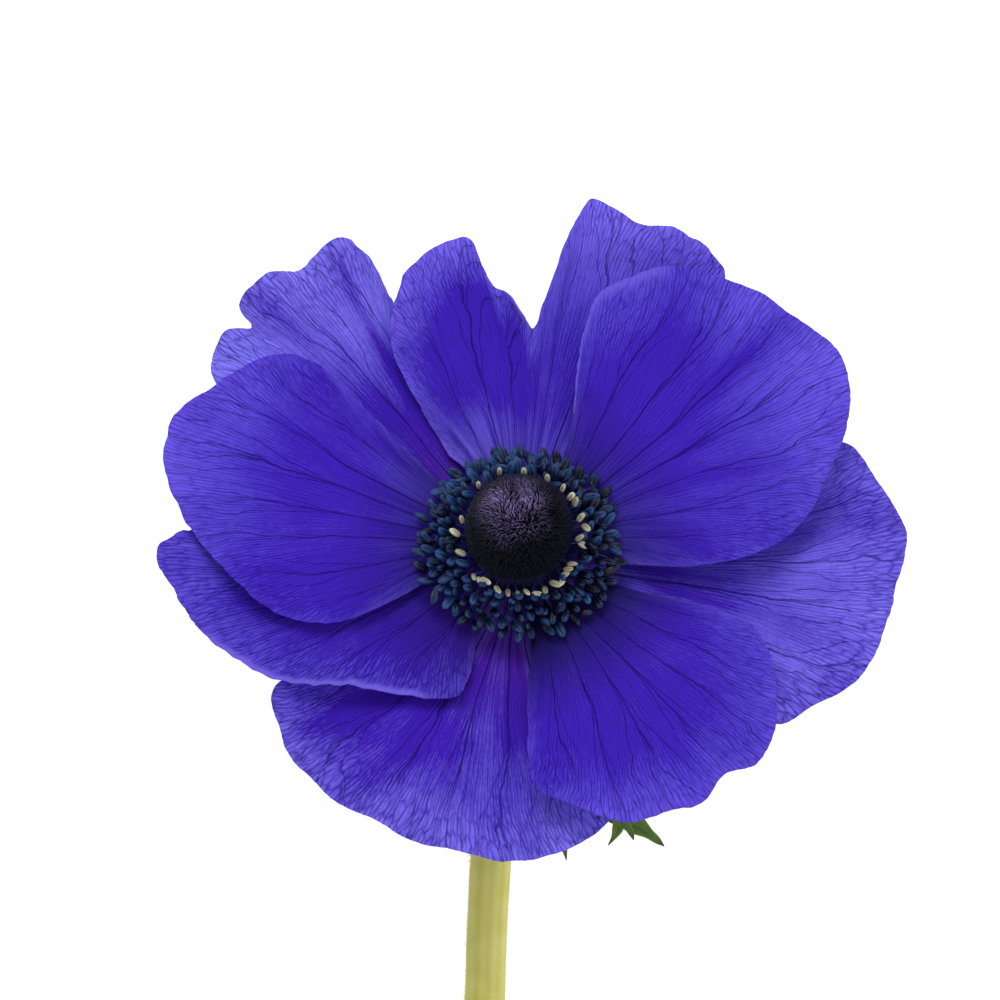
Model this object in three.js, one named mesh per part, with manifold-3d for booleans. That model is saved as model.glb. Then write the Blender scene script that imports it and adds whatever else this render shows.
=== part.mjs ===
// Anemone flower, cut and laid down: a single blue-violet bloom of eight tepals on a bent green stem.
// The stem lies along -Y on the surface z = 0. Behind the bloom it bends up, so that the bloom faces
// the sky and leans a little towards +Y. Millimetres, +Z up, origin under the middle of the whole.

import * as THREE from 'three';
import { mergeVertices } from 'three/addons/utils/BufferGeometryUtils.js';
import Module from 'manifold-3d';

const wasm = await Module();
wasm.setup();

// ---------------------------------------------------------------- driving dimensions

const BLOOM_LEAN = THREE.MathUtils.degToRad(24);  // from upright, towards +Y
const BLOOM_HEIGHT = 14.2;    // middle of the inner tepals' claws, above the surface
const BLADE = 0.6;            // thickness of a tepal

const CLAW_RADIUS = 4.9;      // where the tepals start, round the receptacle
const CLAW_WIDTH = 3.4;
const REACH = 35;             // length of a typical tepal beyond its claw
const MARGIN_STEP = 3.6;      // facet length along a tepal's margin
const RAY_STEPS = [0, 0.2, 0.4, 0.6, 0.76, 0.9, 1];  // facet rows from claw to margin
const RAY_BOW = 0.3;          // how early a ray bends out sideways
const SPOON_AT = 20;          // off a tepal's middle line, where its spoon is measured

const STEM_RADIUS = 2.4;
const NECK_RADIUS = 2.2;      // under the bloom
const STEM_SIDES = 12;        // one side lies flat on the surface
const BEND_STEPS = 9;         // rings round the bend of the neck
const LYING_STEPS = 9;        // rings along the stretch that lies on the surface
const STEM_LENGTH = 122;      // from the bloom's centre to the cut end, along -Y
const NECK_START = -4.5;      // this and all heights below are along the bloom's axis
const RECEPTACLE = {
  radius: 4.5, top: 0.9, bottom: -2.9, crown: 3.9, bevel: 0.4, foot: 3.3, taper: 0.7,
};

// The lying stem bows sideways, from just behind the bloom, and drifts a little over its length.
const SWAY = { from: 6, length: 120, bow: -5, fullness: 0.8, drift: 0.018 };

const DARK_COLLAR = { radius: 6, bottom: 1.2, top: 2.4 };
const PALE_COLLAR = { radius: 5.2, bottom: 2.7, top: 3.5 };
const COLLAR_SIDES = 24;
const COLLAR_BEVEL = 0.5;
const DARK_ANTHER = { length: 1.7, width: 1.1, depth: 0.8 };
const PALE_ANTHER = { length: 1.25, width: 0.75, depth: 0.6 };
const DARK_ROWS = [
  { count: 24, radius: 8.7, height: 3.2 },
  { count: 28, radius: 9.7, height: 2.9 },
  { count: 28, radius: 10.8, height: 2.6 },
  { count: 24, radius: 11.8, height: 2.4 },
];
const PALE_ROW = { count: 28, radius: 7.5, height: 4.6 };
const FILAMENT = { radius: 0.28, inset: 0.9 };   // inset: how far inside the collar it stands
const STAMEN_SIDES = 4;
// An anther's widest and narrower sections: place from its middle, and share of its size.
const ANTHER_WIDEST = { at: -0.5, share: 0.5 };
const ANTHER_SHOULDER = { at: 0.55, share: 0.46 };
// How irregularly stamens stand: in bearing (share of a step), in mm, and their pitch in radians.
const SCATTER = { turn: 0.5, radius: 0.5, height: 0.3, pitchFrom: 0.25, pitchRange: 0.4 };

const DOME = { radius: 5.6, bottom: 3.8, middle: 6.8, top: 12.6, foot: 4.4, relief: 0.3 };
const DOME_SPIRALS = [13, 21];   // the two families of spirals that the carpels stand in
const DOME_CLIMB = 18;           // turn of those spirals from bottom to top, in radians
const DOME_SIDES = 38;
const DOME_LEVELS = 15;
const DOME_FADE = 3;             // inside this radius the relief dies away at the top

const WHORL_BEHIND = 24;      // the bracts' whorl, behind the bloom's centre
const BRACT_THICKNESS = 0.7;
const LOBE_WIDTHS = [0.7, 1, 0.75];   // shares of a lobe's width, from its foot to its tip
const LOBE_FIRST = 0.35;              // place of the first of them, in steps of a third
const TOOTH = { at: 0.4, turn: 0.6, length: 0.22, width: 0.6 };

// The two tepals that reach the surface sag onto it beyond this share of REACH.
const SAG = { from: 0.5, depth: 12 };

// Layers of tepals: height at the claw, rise at REACH, lift of the two long sides at 20 mm off the
// middle line, and how high the margin waves.
const LAYERS = {
  inner: { claw: 0, rise: 5.0, spoon: 1.5, wave: 0.45 },
  middle: { claw: -1.05, rise: 3.4, spoon: 0.3, wave: 0.5 },
  outer: { claw: -2.1, rise: 1.8, spoon: -0.2, wave: 0.8 },
};

// Each margin is drawn flat, seen along the bloom's axis: x right, y up, anticlockwise from one
// side of the claw round the tip to the other. `at` is the claw's bearing in degrees, `waves` how
// many waves run along the margin, and `sags` marks those that lie on the surface.
const TEPALS = {
  tepal_inner_right: {
    layer: 'inner', at: 36.5, waves: 7,
    margin: [[10.5, -2], [20.5, -3], [27, -2], [31.5, 1], [34, 5], [37.5, 14.5], [37.5, 19.5],
      [35.5, 23.5], [31, 27.5], [26.5, 30.5], [20, 33], [14.5, 32.5], [9.5, 30.5], [7.5, 26],
      [6.5, 18.5], [6, 12]],
  },
  tepal_inner_left: {
    layer: 'inner', at: 163.5, waves: 6,
    margin: [[-9, 8], [-17, 16], [-24, 22], [-28, 22.5], [-35, 18], [-39, 15], [-40, 12],
      [-40.2, 8], [-37.5, 1.5], [-29.5, -8], [-25, -10], [-20, -10], [-14.5, -7], [-9, -3]],
  },
  tepal_inner_lower: {
    layer: 'inner', at: -50, waves: 8,
    margin: [[1.5, -9.5], [1, -21.5], [1.5, -30], [4, -32], [12, -34.5], [16.5, -33.5], [20, -32.5],
      [23, -28.5], [26, -28], [28.5, -22.5], [27.5, -13], [23.5, -9], [17, -6.5], [10.5, -5.5]],
  },
  tepal_middle_top: {
    layer: 'middle', at: 83, waves: 9, sags: true,
    margin: [[7, 10.5], [18.5, 24.5], [24, 33], [22, 37], [18.5, 39.5], [14, 40], [10.5, 42.5],
      [8.5, 43.5], [6.5, 40.5], [3.5, 32.5], [1.5, 27.5], [0.5, 29], [-1.5, 32], [-3, 33],
      [-4.5, 36], [-6, 38.5], [-9, 38], [-12.5, 35], [-14.5, 29.5], [-14.5, 24.5], [-8, 12]],
  },
  tepal_middle_left: {
    layer: 'middle', at: -164, waves: 6,
    margin: [[-7.5, -0.5], [-21.5, 1.5], [-37.5, 1.5], [-41, -1.5], [-39, -5.5], [-35, -11.5],
      [-27.5, -16], [-17.5, -17], [-7, -18], [-6, -16.5], [-4.5, -9]],
  },
  tepal_outer_top_left: {
    layer: 'outer', at: 131, waves: 11, sags: true,
    margin: [[-5.5, 11], [-14.5, 32], [-19.5, 39.5], [-22.5, 38.5], [-25.5, 36], [-29.5, 34.5],
      [-32.5, 31.5], [-31, 28], [-34, 28], [-35.5, 24.5], [-35, 21], [-19.5, 13], [-10, 8.5]],
  },
  tepal_outer_right: {
    layer: 'outer', at: -8, waves: 9,
    margin: [[9, -2], [22.5, -18], [29, -20.5], [33.5, -18.5], [36, -17.5], [38.5, -15],
      [41, -10.5], [42.5, -5], [44, 2], [42.5, 6.5], [40, 10.5], [37, 13.5], [20.5, 5.5], [9, 3]],
  },
  tepal_outer_bottom: {
    layer: 'outer', at: -108, waves: 9,
    margin: [[-5.5, -5], [-20, -13], [-27.5, -16.5], [-27, -21], [-25, -25.5], [-21, -29.5],
      [-15.5, -33], [-6, -36.5], [-1, -37], [4.5, -36.5], [8, -34], [11, -30.5], [10, -24], [3, -10]],
  },
};

// Bracts spread from the whorl. Every lobe is [bend, tip, half width], offsets from its centre.
const BRACTS = {
  bract_right: {
    base: [2.9, -0.6, 0.3],
    lobes: [
      [[14, -5.5, 4], [19, -9.9, 5.5], 1.6], [[14.5, -4, 3.5], [12.6, -9.8, 5], 1.6],
      [[14.5, -5, 4], [15.5, -9.2, 5], 1.2], [[6.5, -3.5, 2.5], [7.8, -11.5, 5], 1.5],
      [[10, -0.5, 4], [19, -1.5, 6.5], 1.8], [[8, 1.5, 4], [15, 4, 7], 1.6],
    ],
  },
  bract_left: {
    base: [-2.9, 0.2, 0.3],
    lobes: [
      [[-13, 0.5, 4], [-22, 0.5, 5.5], 1.9], [[-12, -2, 4], [-19, -4.5, 5], 1.7],
      [[-8, -3.5, 3], [-12, -7, 4.5], 1.5], [[-12, 3, 4], [-19, 5.5, 6], 1.7],
      [[-8, 4, 4], [-12.5, 8.5, 6.5], 1.5],
    ],
  },
  bract_upper: {
    base: [0.3, 0.1, 3.1],
    lobes: [
      [[2, -4, 9], [4, -9.5, 14], 1.8], [[-1, -3, 9], [-4, -7.5, 13], 1.6],
      [[4, -2.5, 8], [9.5, -5.5, 12.5], 1.6],
    ],
  },
};

const COLOURS = {
  tepal: 0x4427b8, stem: 0xb5b35a, bract: 0x4f7a33, dark: 0x1f2f4a, pale: 0xcfc7a0, dome: 0x1c1726,
};

// ---------------------------------------------------------------- small helpers

// Repeatable random numbers, so that the flower is the same every time.
function seeded(seed) {
  let state = seed;
  return () => {
    state = (Math.imul(state, 1664525) + 1013904223) >>> 0;
    return state / 4294967296;
  };
}

// From the bloom's own frame (x right, y up in its plane, height along its axis) to the part's.
function bloomPoint(x, y, height) {
  return new THREE.Vector3(
    x,
    y * Math.cos(BLOOM_LEAN) + height * Math.sin(BLOOM_LEAN),
    BLOOM_HEIGHT - y * Math.sin(BLOOM_LEAN) + height * Math.cos(BLOOM_LEAN),
  );
}

function bearing(degrees, radius) {
  const angle = THREE.MathUtils.degToRad(degrees);
  return new THREE.Vector2(radius * Math.cos(angle), radius * Math.sin(angle));
}

function geometryOf(points, triangles) {
  const numbers = points.flatMap((point) => point.toArray());
  const geometry = new THREE.BufferGeometry();
  geometry.setAttribute('position', new THREE.Float32BufferAttribute(numbers, 3));
  geometry.setIndex(triangles.flat());
  return geometry;
}

// A closed skin through rings of points, all alike in number, with a point at each end.
function loft(start, rings, end) {
  const sides = rings[0].length;
  const points = [start, ...rings.flat(), end];
  const at = (ring, side) => 1 + ring * sides + (side % sides);
  const last = points.length - 1;
  const triangles = [];
  for (let side = 0; side < sides; side += 1) {
    triangles.push([0, at(0, side + 1), at(0, side)]);
    for (let ring = 0; ring < rings.length - 1; ring += 1) {
      const [a, b] = [at(ring, side), at(ring, side + 1)];
      const [c, d] = [at(ring + 1, side), at(ring + 1, side + 1)];
      triangles.push([a, b, d], [a, d, c]);
    }
    triangles.push([last, at(rings.length - 1, side), at(rings.length - 1, side + 1)]);
  }
  return geometryOf(points, triangles);
}

function solidOf(geometry) {
  const bare = geometry.clone();
  bare.deleteAttribute('normal');
  bare.deleteAttribute('uv');
  const merged = mergeVertices(bare, 1e-4);
  return new wasm.Manifold(new wasm.Mesh({
    numProp: 3,
    vertProperties: new Float32Array(merged.attributes.position.array),
    triVerts: new Uint32Array(merged.index.array),
  }));
}

// One body from many, with any loose scrap dropped.
function fuse(geometries) {
  let whole = solidOf(geometries[0]);
  for (const geometry of geometries.slice(1)) {
    whole = whole.add(solidOf(geometry));
  }
  const pieces = whole.decompose().sort((a, b) => b.volume() - a.volume());
  const mesh = pieces[0].getMesh();
  const geometry = new THREE.BufferGeometry();
  geometry.setAttribute('position', new THREE.BufferAttribute(mesh.vertProperties, 3));
  geometry.setIndex(new THREE.BufferAttribute(mesh.triVerts, 1));
  return geometry;
}

// ---------------------------------------------------------------- tepals

// How far out a point lies: 0 at the claws, 1 at REACH beyond them.
function reachShare(x, y) {
  return Math.max(0, (Math.hypot(x, y) - CLAW_RADIUS) / REACH);
}

// Height of a tepal's middle surface above the bloom's plane.
function tepalHeight(tepal, x, y, along, ray) {
  const layer = LAYERS[tepal.layer];
  const share = reachShare(x, y);
  const middle = bearing(tepal.at, 1);
  const across = (x * middle.y - y * middle.x) / SPOON_AT;
  const wave = layer.wave * Math.sin(2 * Math.PI * tepal.waves * along) * ray ** 3;
  return layer.claw + layer.rise * share ** 1.15 + layer.spoon * across ** 2
    + wave * Math.min(1, share * 1.2);
}

// The margin as evenly stepped points that keep every drawn corner.
function marginPoints(drawn) {
  const curve = new THREE.CatmullRomCurve3(
    drawn.map(([x, y]) => new THREE.Vector3(x, y, 0)), false, 'centripetal',
  );
  const spans = drawn.length - 1;
  const points = [curve.getPoint(0)];
  for (let span = 0; span < spans; span += 1) {
    const length = Math.hypot(
      drawn[span + 1][0] - drawn[span][0], drawn[span + 1][1] - drawn[span][1],
    );
    const steps = Math.max(1, Math.round(length / MARGIN_STEP));
    for (let step = 1; step <= steps; step += 1) {
      points.push(curve.getPoint((span + step / steps) / spans));
    }
  }
  return points;
}

// A tepal is a fan of rays from its claw to its margin. Each ray leaves along the middle line and
// bends out to its own point of the margin. Both faces have the same triangles.
function tepalGeometry(tepal) {
  const margin = marginPoints(tepal.margin);
  const middle = bearing(tepal.at, 1);
  const side = new THREE.Vector2(middle.y, -middle.x);
  const columns = margin.length;
  const surface = [];
  margin.forEach((point, column) => {
    const along = column / (columns - 1);
    const offset = CLAW_WIDTH * (0.5 - along);
    const root = middle.clone().multiplyScalar(CLAW_RADIUS).addScaledVector(side, offset);
    const out = (point.x - root.x) * middle.x + (point.y - root.y) * middle.y;
    const over = (point.x - root.x) * side.x + (point.y - root.y) * side.y;
    for (const ray of RAY_STEPS) {
      const sweep = over * (RAY_BOW * ray * (1 - ray) + ray * ray);
      const x = root.x + middle.x * out * ray + side.x * sweep;
      const y = root.y + middle.y * out * ray + side.y * sweep;
      const place = bloomPoint(x, y, tepalHeight(tepal, x, y, along, ray));
      if (tepal.sags) place.z -= SAG.depth * Math.max(0, reachShare(x, y) - SAG.from) ** 2;
      place.z = Math.max(place.z, BLADE / 2);
      surface.push(place);
    }
  });
  return blade(surface, columns, RAY_STEPS.length, BLADE);
}

// A thin closed blade from a grid of middle points, thickened evenly to both sides.
function blade(surface, columns, rows, thickness) {
  const at = (column, row) => column * rows + row;
  const faces = [];
  for (let column = 0; column < columns - 1; column += 1) {
    for (let row = 0; row < rows - 1; row += 1) {
      const [a, b] = [at(column, row), at(column, row + 1)];
      const [c, d] = [at(column + 1, row), at(column + 1, row + 1)];
      faces.push([a, b, d], [a, d, c]);
    }
  }
  const normals = surface.map(() => new THREE.Vector3());
  for (const [a, b, c] of faces) {
    const edge = surface[b].clone().sub(surface[a]);
    const normal = edge.cross(surface[c].clone().sub(surface[a]));
    for (const corner of [a, b, c]) normals[corner].add(normal);
  }
  normals.forEach((normal) => normal.normalize().multiplyScalar(thickness / 2));
  const upper = surface.map((point, index) => point.clone().add(normals[index]));
  const lower = surface.map((point, index) => point.clone().sub(normals[index]));
  const below = surface.length;
  const triangles = [...faces, ...faces.map(([a, b, c]) => [a + below, c + below, b + below])];
  const rim = [];
  for (let row = 0; row < rows - 1; row += 1) rim.push(at(0, row));
  for (let column = 0; column < columns - 1; column += 1) rim.push(at(column, rows - 1));
  for (let row = rows - 1; row > 0; row -= 1) rim.push(at(columns - 1, row));
  for (let column = columns - 1; column > 0; column -= 1) rim.push(at(column, 0));
  rim.forEach((from, index) => {
    const to = rim[(index + 1) % rim.length];
    triangles.push([to, from, from + below], [to, from + below, to + below]);
  });
  return geometryOf([...upper, ...lower], triangles);
}

// ---------------------------------------------------------------- stem and receptacle

// Centres of the stem, from the neck to the cut end: an arc down to the surface, then along it.
function stemCentres() {
  const floor = STEM_RADIUS * Math.cos(Math.PI / STEM_SIDES);
  const neck = bloomPoint(0, 0, NECK_START);
  const turn = Math.PI / 2 - BLOOM_LEAN;
  const bend = (neck.z - floor) / (1 - Math.cos(turn));
  const centres = [];
  for (let step = 0; step <= BEND_STEPS; step += 1) {
    const left = turn * (1 - step / BEND_STEPS);
    centres.push(new THREE.Vector3(
      0,
      neck.y - bend * (Math.sin(turn) - Math.sin(left)),
      floor + bend * (1 - Math.cos(left)),
    ));
  }
  const lying = centres.at(-1).y;
  for (let step = 1; step <= LYING_STEPS; step += 1) {
    const y = THREE.MathUtils.lerp(lying, -STEM_LENGTH, step / LYING_STEPS);
    centres.push(new THREE.Vector3(0, y, floor));
  }
  centres.forEach((centre) => { centre.x = stemSway(centre.y); });
  return centres;
}

// How far sideways the stem lies, by its place along Y.
function stemSway(y) {
  const behind = Math.max(0, -y - SWAY.from);
  const share = Math.min(1, behind / SWAY.length);
  return SWAY.bow * Math.sin(share * Math.PI) ** SWAY.fullness + SWAY.drift * behind;
}

function ringRound(centre, along, radius) {
  const ring = [];
  const side = new THREE.Vector3(1, 0, 0);
  side.addScaledVector(along, -along.x).normalize();
  const up = along.clone().cross(side);
  for (let index = 0; index < STEM_SIDES; index += 1) {
    const angle = (2 * Math.PI * (index + 0.5)) / STEM_SIDES;
    ring.push(centre.clone()
      .addScaledVector(side, radius * Math.cos(angle))
      .addScaledVector(up, radius * Math.sin(angle)));
  }
  return ring;
}

function stemGeometry() {
  const axis = bloomPoint(0, 0, -1).sub(bloomPoint(0, 0, 0));
  const { radius: broad, top, bottom, crown, bevel, foot, taper } = RECEPTACLE;
  const swell = [[top, crown], [top - bevel, broad], [bottom, broad], [bottom - taper, foot]];
  const rings = swell.map(([height, radius]) => ringRound(bloomPoint(0, 0, height), axis, radius));
  const centres = stemCentres();
  centres.forEach((centre, index) => {
    const before = centres[Math.max(index - 1, 0)];
    const after = centres[Math.min(index + 1, centres.length - 1)];
    const along = index === 0 ? axis.clone() : after.clone().sub(before).normalize();
    if (index >= BEND_STEPS) along.z = 0;
    along.normalize();
    const radius = THREE.MathUtils.lerp(NECK_RADIUS, STEM_RADIUS, Math.min(1, index / BEND_STEPS));
    rings.push(ringRound(centre, along, radius));
  });
  return loft(bloomPoint(0, 0, top), rings, centres.at(-1));
}

// ---------------------------------------------------------------- stamens

// A flat round collar that the filaments stand in, across the bloom's axis.
function collarGeometry(collar) {
  const ring = (height, radius) => Array.from({ length: COLLAR_SIDES }, (_, index) => {
    const place = bearing((360 * index) / COLLAR_SIDES, radius);
    return bloomPoint(place.x, place.y, height);
  });
  const { bottom, top, radius } = collar;
  const middle = (bottom + top) / 2;
  const narrow = radius - COLLAR_BEVEL;
  return loft(
    bloomPoint(0, 0, bottom),
    [ring(bottom, narrow), ring(middle, radius), ring(top, narrow)],
    bloomPoint(0, 0, top),
  );
}

// A filament from inside the collar out to an anther that tapers to both ends.
function stamenGeometry(turn, radius, height, collar, anther, pitch) {
  const toPoint = (distance, rise, offset = 0) => {
    const place = bearing(turn, distance);
    const side = bearing(turn + 90, offset);
    return bloomPoint(place.x + side.x, place.y + side.y, rise);
  };
  const root = toPoint(collar.radius - FILAMENT.inset, (collar.bottom + collar.top) / 2);
  const centre = toPoint(radius, height);
  const outward = toPoint(1, 0).sub(toPoint(0, 0));
  const upward = toPoint(0, 1).sub(toPoint(0, 0));
  const sideways = toPoint(0, 0, 1).sub(toPoint(0, 0));
  const [flat, steep] = [Math.cos(pitch), Math.sin(pitch)];
  const long = outward.clone().multiplyScalar(flat).addScaledVector(upward, steep);
  const thin = outward.clone().multiplyScalar(-steep).addScaledVector(upward, flat);
  const section = (middle, wide, deep) => Array.from({ length: STAMEN_SIDES }, (_, index) => {
    const angle = (2 * Math.PI * index) / STAMEN_SIDES;
    return middle.clone()
      .addScaledVector(sideways, wide * Math.cos(angle))
      .addScaledVector(thin, deep * Math.sin(angle));
  });
  const station = (share) => centre.clone().addScaledVector(long, (anther.length / 2) * share);
  const thread = (middle) => section(middle, FILAMENT.radius, FILAMENT.radius);
  const swollen = ({ at, share }) => (
    section(station(at), anther.width * share, anther.depth * share)
  );
  return loft(
    root.clone().addScaledVector(outward, -0.1),
    [thread(root), thread(station(-1)), swollen(ANTHER_WIDEST), swollen(ANTHER_SHOULDER)],
    station(1),
  );
}

function stamenRing(rows, collar, anther, seed) {
  const random = seeded(seed);
  const pieces = [collarGeometry(collar)];
  rows.forEach((row, index) => {
    for (let place = 0; place < row.count; place += 1) {
      const step = place + 0.5 * (index % 2) + SCATTER.turn * (random() - 0.5);
      const turn = (360 * step) / row.count;
      const radius = row.radius + SCATTER.radius * (random() - 0.5);
      const height = row.height + SCATTER.height * (random() - 0.5);
      const pitch = SCATTER.pitchFrom + SCATTER.pitchRange * random();
      pieces.push(stamenGeometry(turn, radius, height, collar, anther, pitch));
    }
  });
  return fuse(pieces);
}

// ---------------------------------------------------------------- dome of carpels

// The dome's own outline: height and radius at a slope, from the foot (below 0) to the top.
function domeSection(slope) {
  const { radius, bottom, middle, top, foot } = DOME;
  if (slope >= 0) {
    return { height: middle + (top - middle) * Math.sin(slope), radius: radius * Math.cos(slope) };
  }
  const depth = Math.sin(slope) / Math.sin(Math.PI / 4);
  return {
    height: middle + (middle - bottom) * depth,
    radius: radius - (radius - foot) * depth * depth,
  };
}

// The carpels are raised as bumps where two families of spirals cross.
function domeGeometry() {
  const [left, right] = DOME_SPIRALS;
  const rings = [];
  for (let level = 0; level < DOME_LEVELS; level += 1) {
    const share = level / DOME_LEVELS;
    const { height, radius } = domeSection(THREE.MathUtils.lerp(-Math.PI / 4, Math.PI / 2, share));
    const fade = Math.min(1, radius / DOME_FADE, level);
    const climb = share * DOME_CLIMB;
    const ring = [];
    for (let side = 0; side < DOME_SIDES; side += 1) {
      const angle = (2 * Math.PI * side) / DOME_SIDES;
      const bump = Math.cos(left * angle + climb) * Math.cos(right * angle - climb);
      const out = 1 + (DOME.relief * bump * fade) / DOME.radius;
      ring.push(bloomPoint(
        radius * out * Math.cos(angle),
        radius * out * Math.sin(angle),
        DOME.middle + (height - DOME.middle) * out,
      ));
    }
    rings.push(ring);
  }
  return loft(bloomPoint(0, 0, DOME.bottom), rings, bloomPoint(0, 0, DOME.top));
}

// ---------------------------------------------------------------- bracts

// One pointed lobe: a flat-sided blade that swells and tapers along a bent line.
function lobeGeometry(root, bend, tip, halfWidth, flat) {
  const line = new THREE.QuadraticBezierCurve3(root, bend, tip);
  const rings = LOBE_WIDTHS.map((width, index) => {
    const share = (index + LOBE_FIRST) / LOBE_WIDTHS.length;
    const centre = line.getPoint(share);
    const along = line.getTangent(share);
    const across = flat.clone().cross(along).normalize();
    const up = along.clone().cross(across).normalize();
    const corners = [[1, 0], [0, 1], [-1, 0], [0, -1]];
    return corners.map(([wide, deep]) => centre.clone()
      .addScaledVector(across, wide * width * halfWidth)
      .addScaledVector(up, (deep * BRACT_THICKNESS) / 2));
  });
  return loft(root, rings, tip);
}

// A bract is cut into lobes, and each lobe bears two side teeth. A bract that stands on top of the
// stem turns its flat side to the bloom.
function bractGeometry(bract, whorl) {
  const place = (offset) => whorl.clone().add(new THREE.Vector3(...offset));
  const base = place(bract.base);
  const standing = bract.base[2] > 1;
  const flat = standing ? new THREE.Vector3(0, 1, 0.4) : new THREE.Vector3(0, 0, 1);
  flat.normalize();
  const pieces = [];
  for (const [bendAt, tipAt, halfWidth] of bract.lobes) {
    const line = new THREE.QuadraticBezierCurve3(base, place(bendAt), place(tipAt));
    pieces.push(lobeGeometry(base, line.v1, line.v2, halfWidth, flat));
    const fork = line.getPoint(TOOTH.at);
    for (const hand of [-1, 1]) {
      const aim = line.getTangent(TOOTH.at).applyAxisAngle(flat, hand * TOOTH.turn);
      const end = fork.clone().addScaledVector(aim, line.getLength() * TOOTH.length);
      const middle = fork.clone().lerp(end, 0.5);
      pieces.push(lobeGeometry(fork, middle, end, halfWidth * TOOTH.width, flat));
    }
  }
  return fuse(pieces);
}

// ---------------------------------------------------------------- the whole flower

const group = new THREE.Group();

function addPiece(name, geometry, colour, roughness) {
  const material = new THREE.MeshStandardMaterial({ color: colour, roughness, metalness: 0 });
  const mesh = new THREE.Mesh(geometry, material);
  mesh.name = name;
  group.add(mesh);
}

addPiece('stem', stemGeometry(), COLOURS.stem, 0.6);
const whorl = new THREE.Vector3(stemSway(-WHORL_BEHIND), -WHORL_BEHIND, STEM_RADIUS);
for (const [name, bract] of Object.entries(BRACTS)) {
  addPiece(name, bractGeometry(bract, whorl), COLOURS.bract, 0.7);
}
for (const [name, tepal] of Object.entries(TEPALS)) {
  addPiece(name, tepalGeometry(tepal), COLOURS.tepal, 0.65);
}
addPiece('stamens_dark', stamenRing(DARK_ROWS, DARK_COLLAR, DARK_ANTHER, 11), COLOURS.dark, 0.55);
addPiece('stamens_pale', stamenRing([PALE_ROW], PALE_COLLAR, PALE_ANTHER, 5), COLOURS.pale, 0.7);
addPiece('dome', domeGeometry(), COLOURS.dome, 0.8);

// The origin goes under the middle of the whole.
const bounds = new THREE.Box3().setFromObject(group);
const centre = bounds.getCenter(new THREE.Vector3());
group.position.set(-centre.x, -centre.y, -bounds.min.z);

export default group;
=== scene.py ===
# A cut anemone lying on a pale surface: fine tepals, stamens, carpels, bracts and stem over the
# frame of solids. Lengths are millimetres in the bloom's own measures and metres in Blender.

import math
import bpy
import numpy as np
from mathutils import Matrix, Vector


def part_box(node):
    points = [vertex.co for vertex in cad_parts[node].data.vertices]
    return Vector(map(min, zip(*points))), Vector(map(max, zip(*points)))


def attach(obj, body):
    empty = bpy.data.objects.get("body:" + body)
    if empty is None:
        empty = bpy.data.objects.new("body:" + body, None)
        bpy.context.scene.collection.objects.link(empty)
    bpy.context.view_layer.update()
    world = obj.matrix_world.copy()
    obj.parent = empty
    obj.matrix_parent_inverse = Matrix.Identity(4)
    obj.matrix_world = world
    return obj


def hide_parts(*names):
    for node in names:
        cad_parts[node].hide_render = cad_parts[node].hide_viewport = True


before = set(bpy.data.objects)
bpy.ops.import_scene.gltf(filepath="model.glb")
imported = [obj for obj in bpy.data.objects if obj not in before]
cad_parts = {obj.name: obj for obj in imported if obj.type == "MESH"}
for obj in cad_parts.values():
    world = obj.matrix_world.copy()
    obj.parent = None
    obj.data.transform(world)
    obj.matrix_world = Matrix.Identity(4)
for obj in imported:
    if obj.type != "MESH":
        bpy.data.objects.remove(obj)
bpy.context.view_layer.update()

MM = 0.001

# ---- sizes shared with the solids

BLOOM_LEAN = math.radians(24)  # from upright, towards +Y
BLOOM_HEIGHT = 14.2
CLAW_RADIUS = 4.9
REACH = 35.0
MARGIN_STEP = 3.6
SOLID_BLADE = 0.6
SAG_FROM = 0.5
SAG_DEPTH = 12.0

STEM_RADIUS = 2.4
NECK_RADIUS = 2.2
STEM_SIDES = 12
STEM_LENGTH = 122.0
NECK_START = -4.5  # this and all heights below are along the bloom's axis
FLOOR_TO_CORE = STEM_RADIUS * math.cos(math.pi / STEM_SIDES)
# The lying stem bows sideways, from just behind the bloom, and drifts a little over its length.
SWAY = {"from": 6, "length": 120, "bow": -5, "fullness": 0.8, "drift": 0.018}

DARK_COLLAR = {"radius": 6.0, "bottom": 1.2, "top": 2.4}
PALE_COLLAR = {"radius": 5.2, "bottom": 2.7, "top": 3.5}
DOME = {"radius": 5.7, "bottom": 3.4, "middle": 6.1, "top": 12.2}
WHORL_BEHIND = 24.0
SPOON_AT = 20  # off a tepal's middle line, where its spoon is measured

# Layers of tepals: height at the claw, rise at REACH, lift of the two long sides at SPOON_AT, and
# how high the margin waves.
LAYERS = {
    "inner": {"claw": 0.0, "rise": 5.0, "spoon": 1.5, "wave": 0.45},
    "middle": {"claw": -1.05, "rise": 3.4, "spoon": 0.3, "wave": 0.5},
    "outer": {"claw": -2.1, "rise": 1.8, "spoon": -0.2, "wave": 0.8},
}

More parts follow.
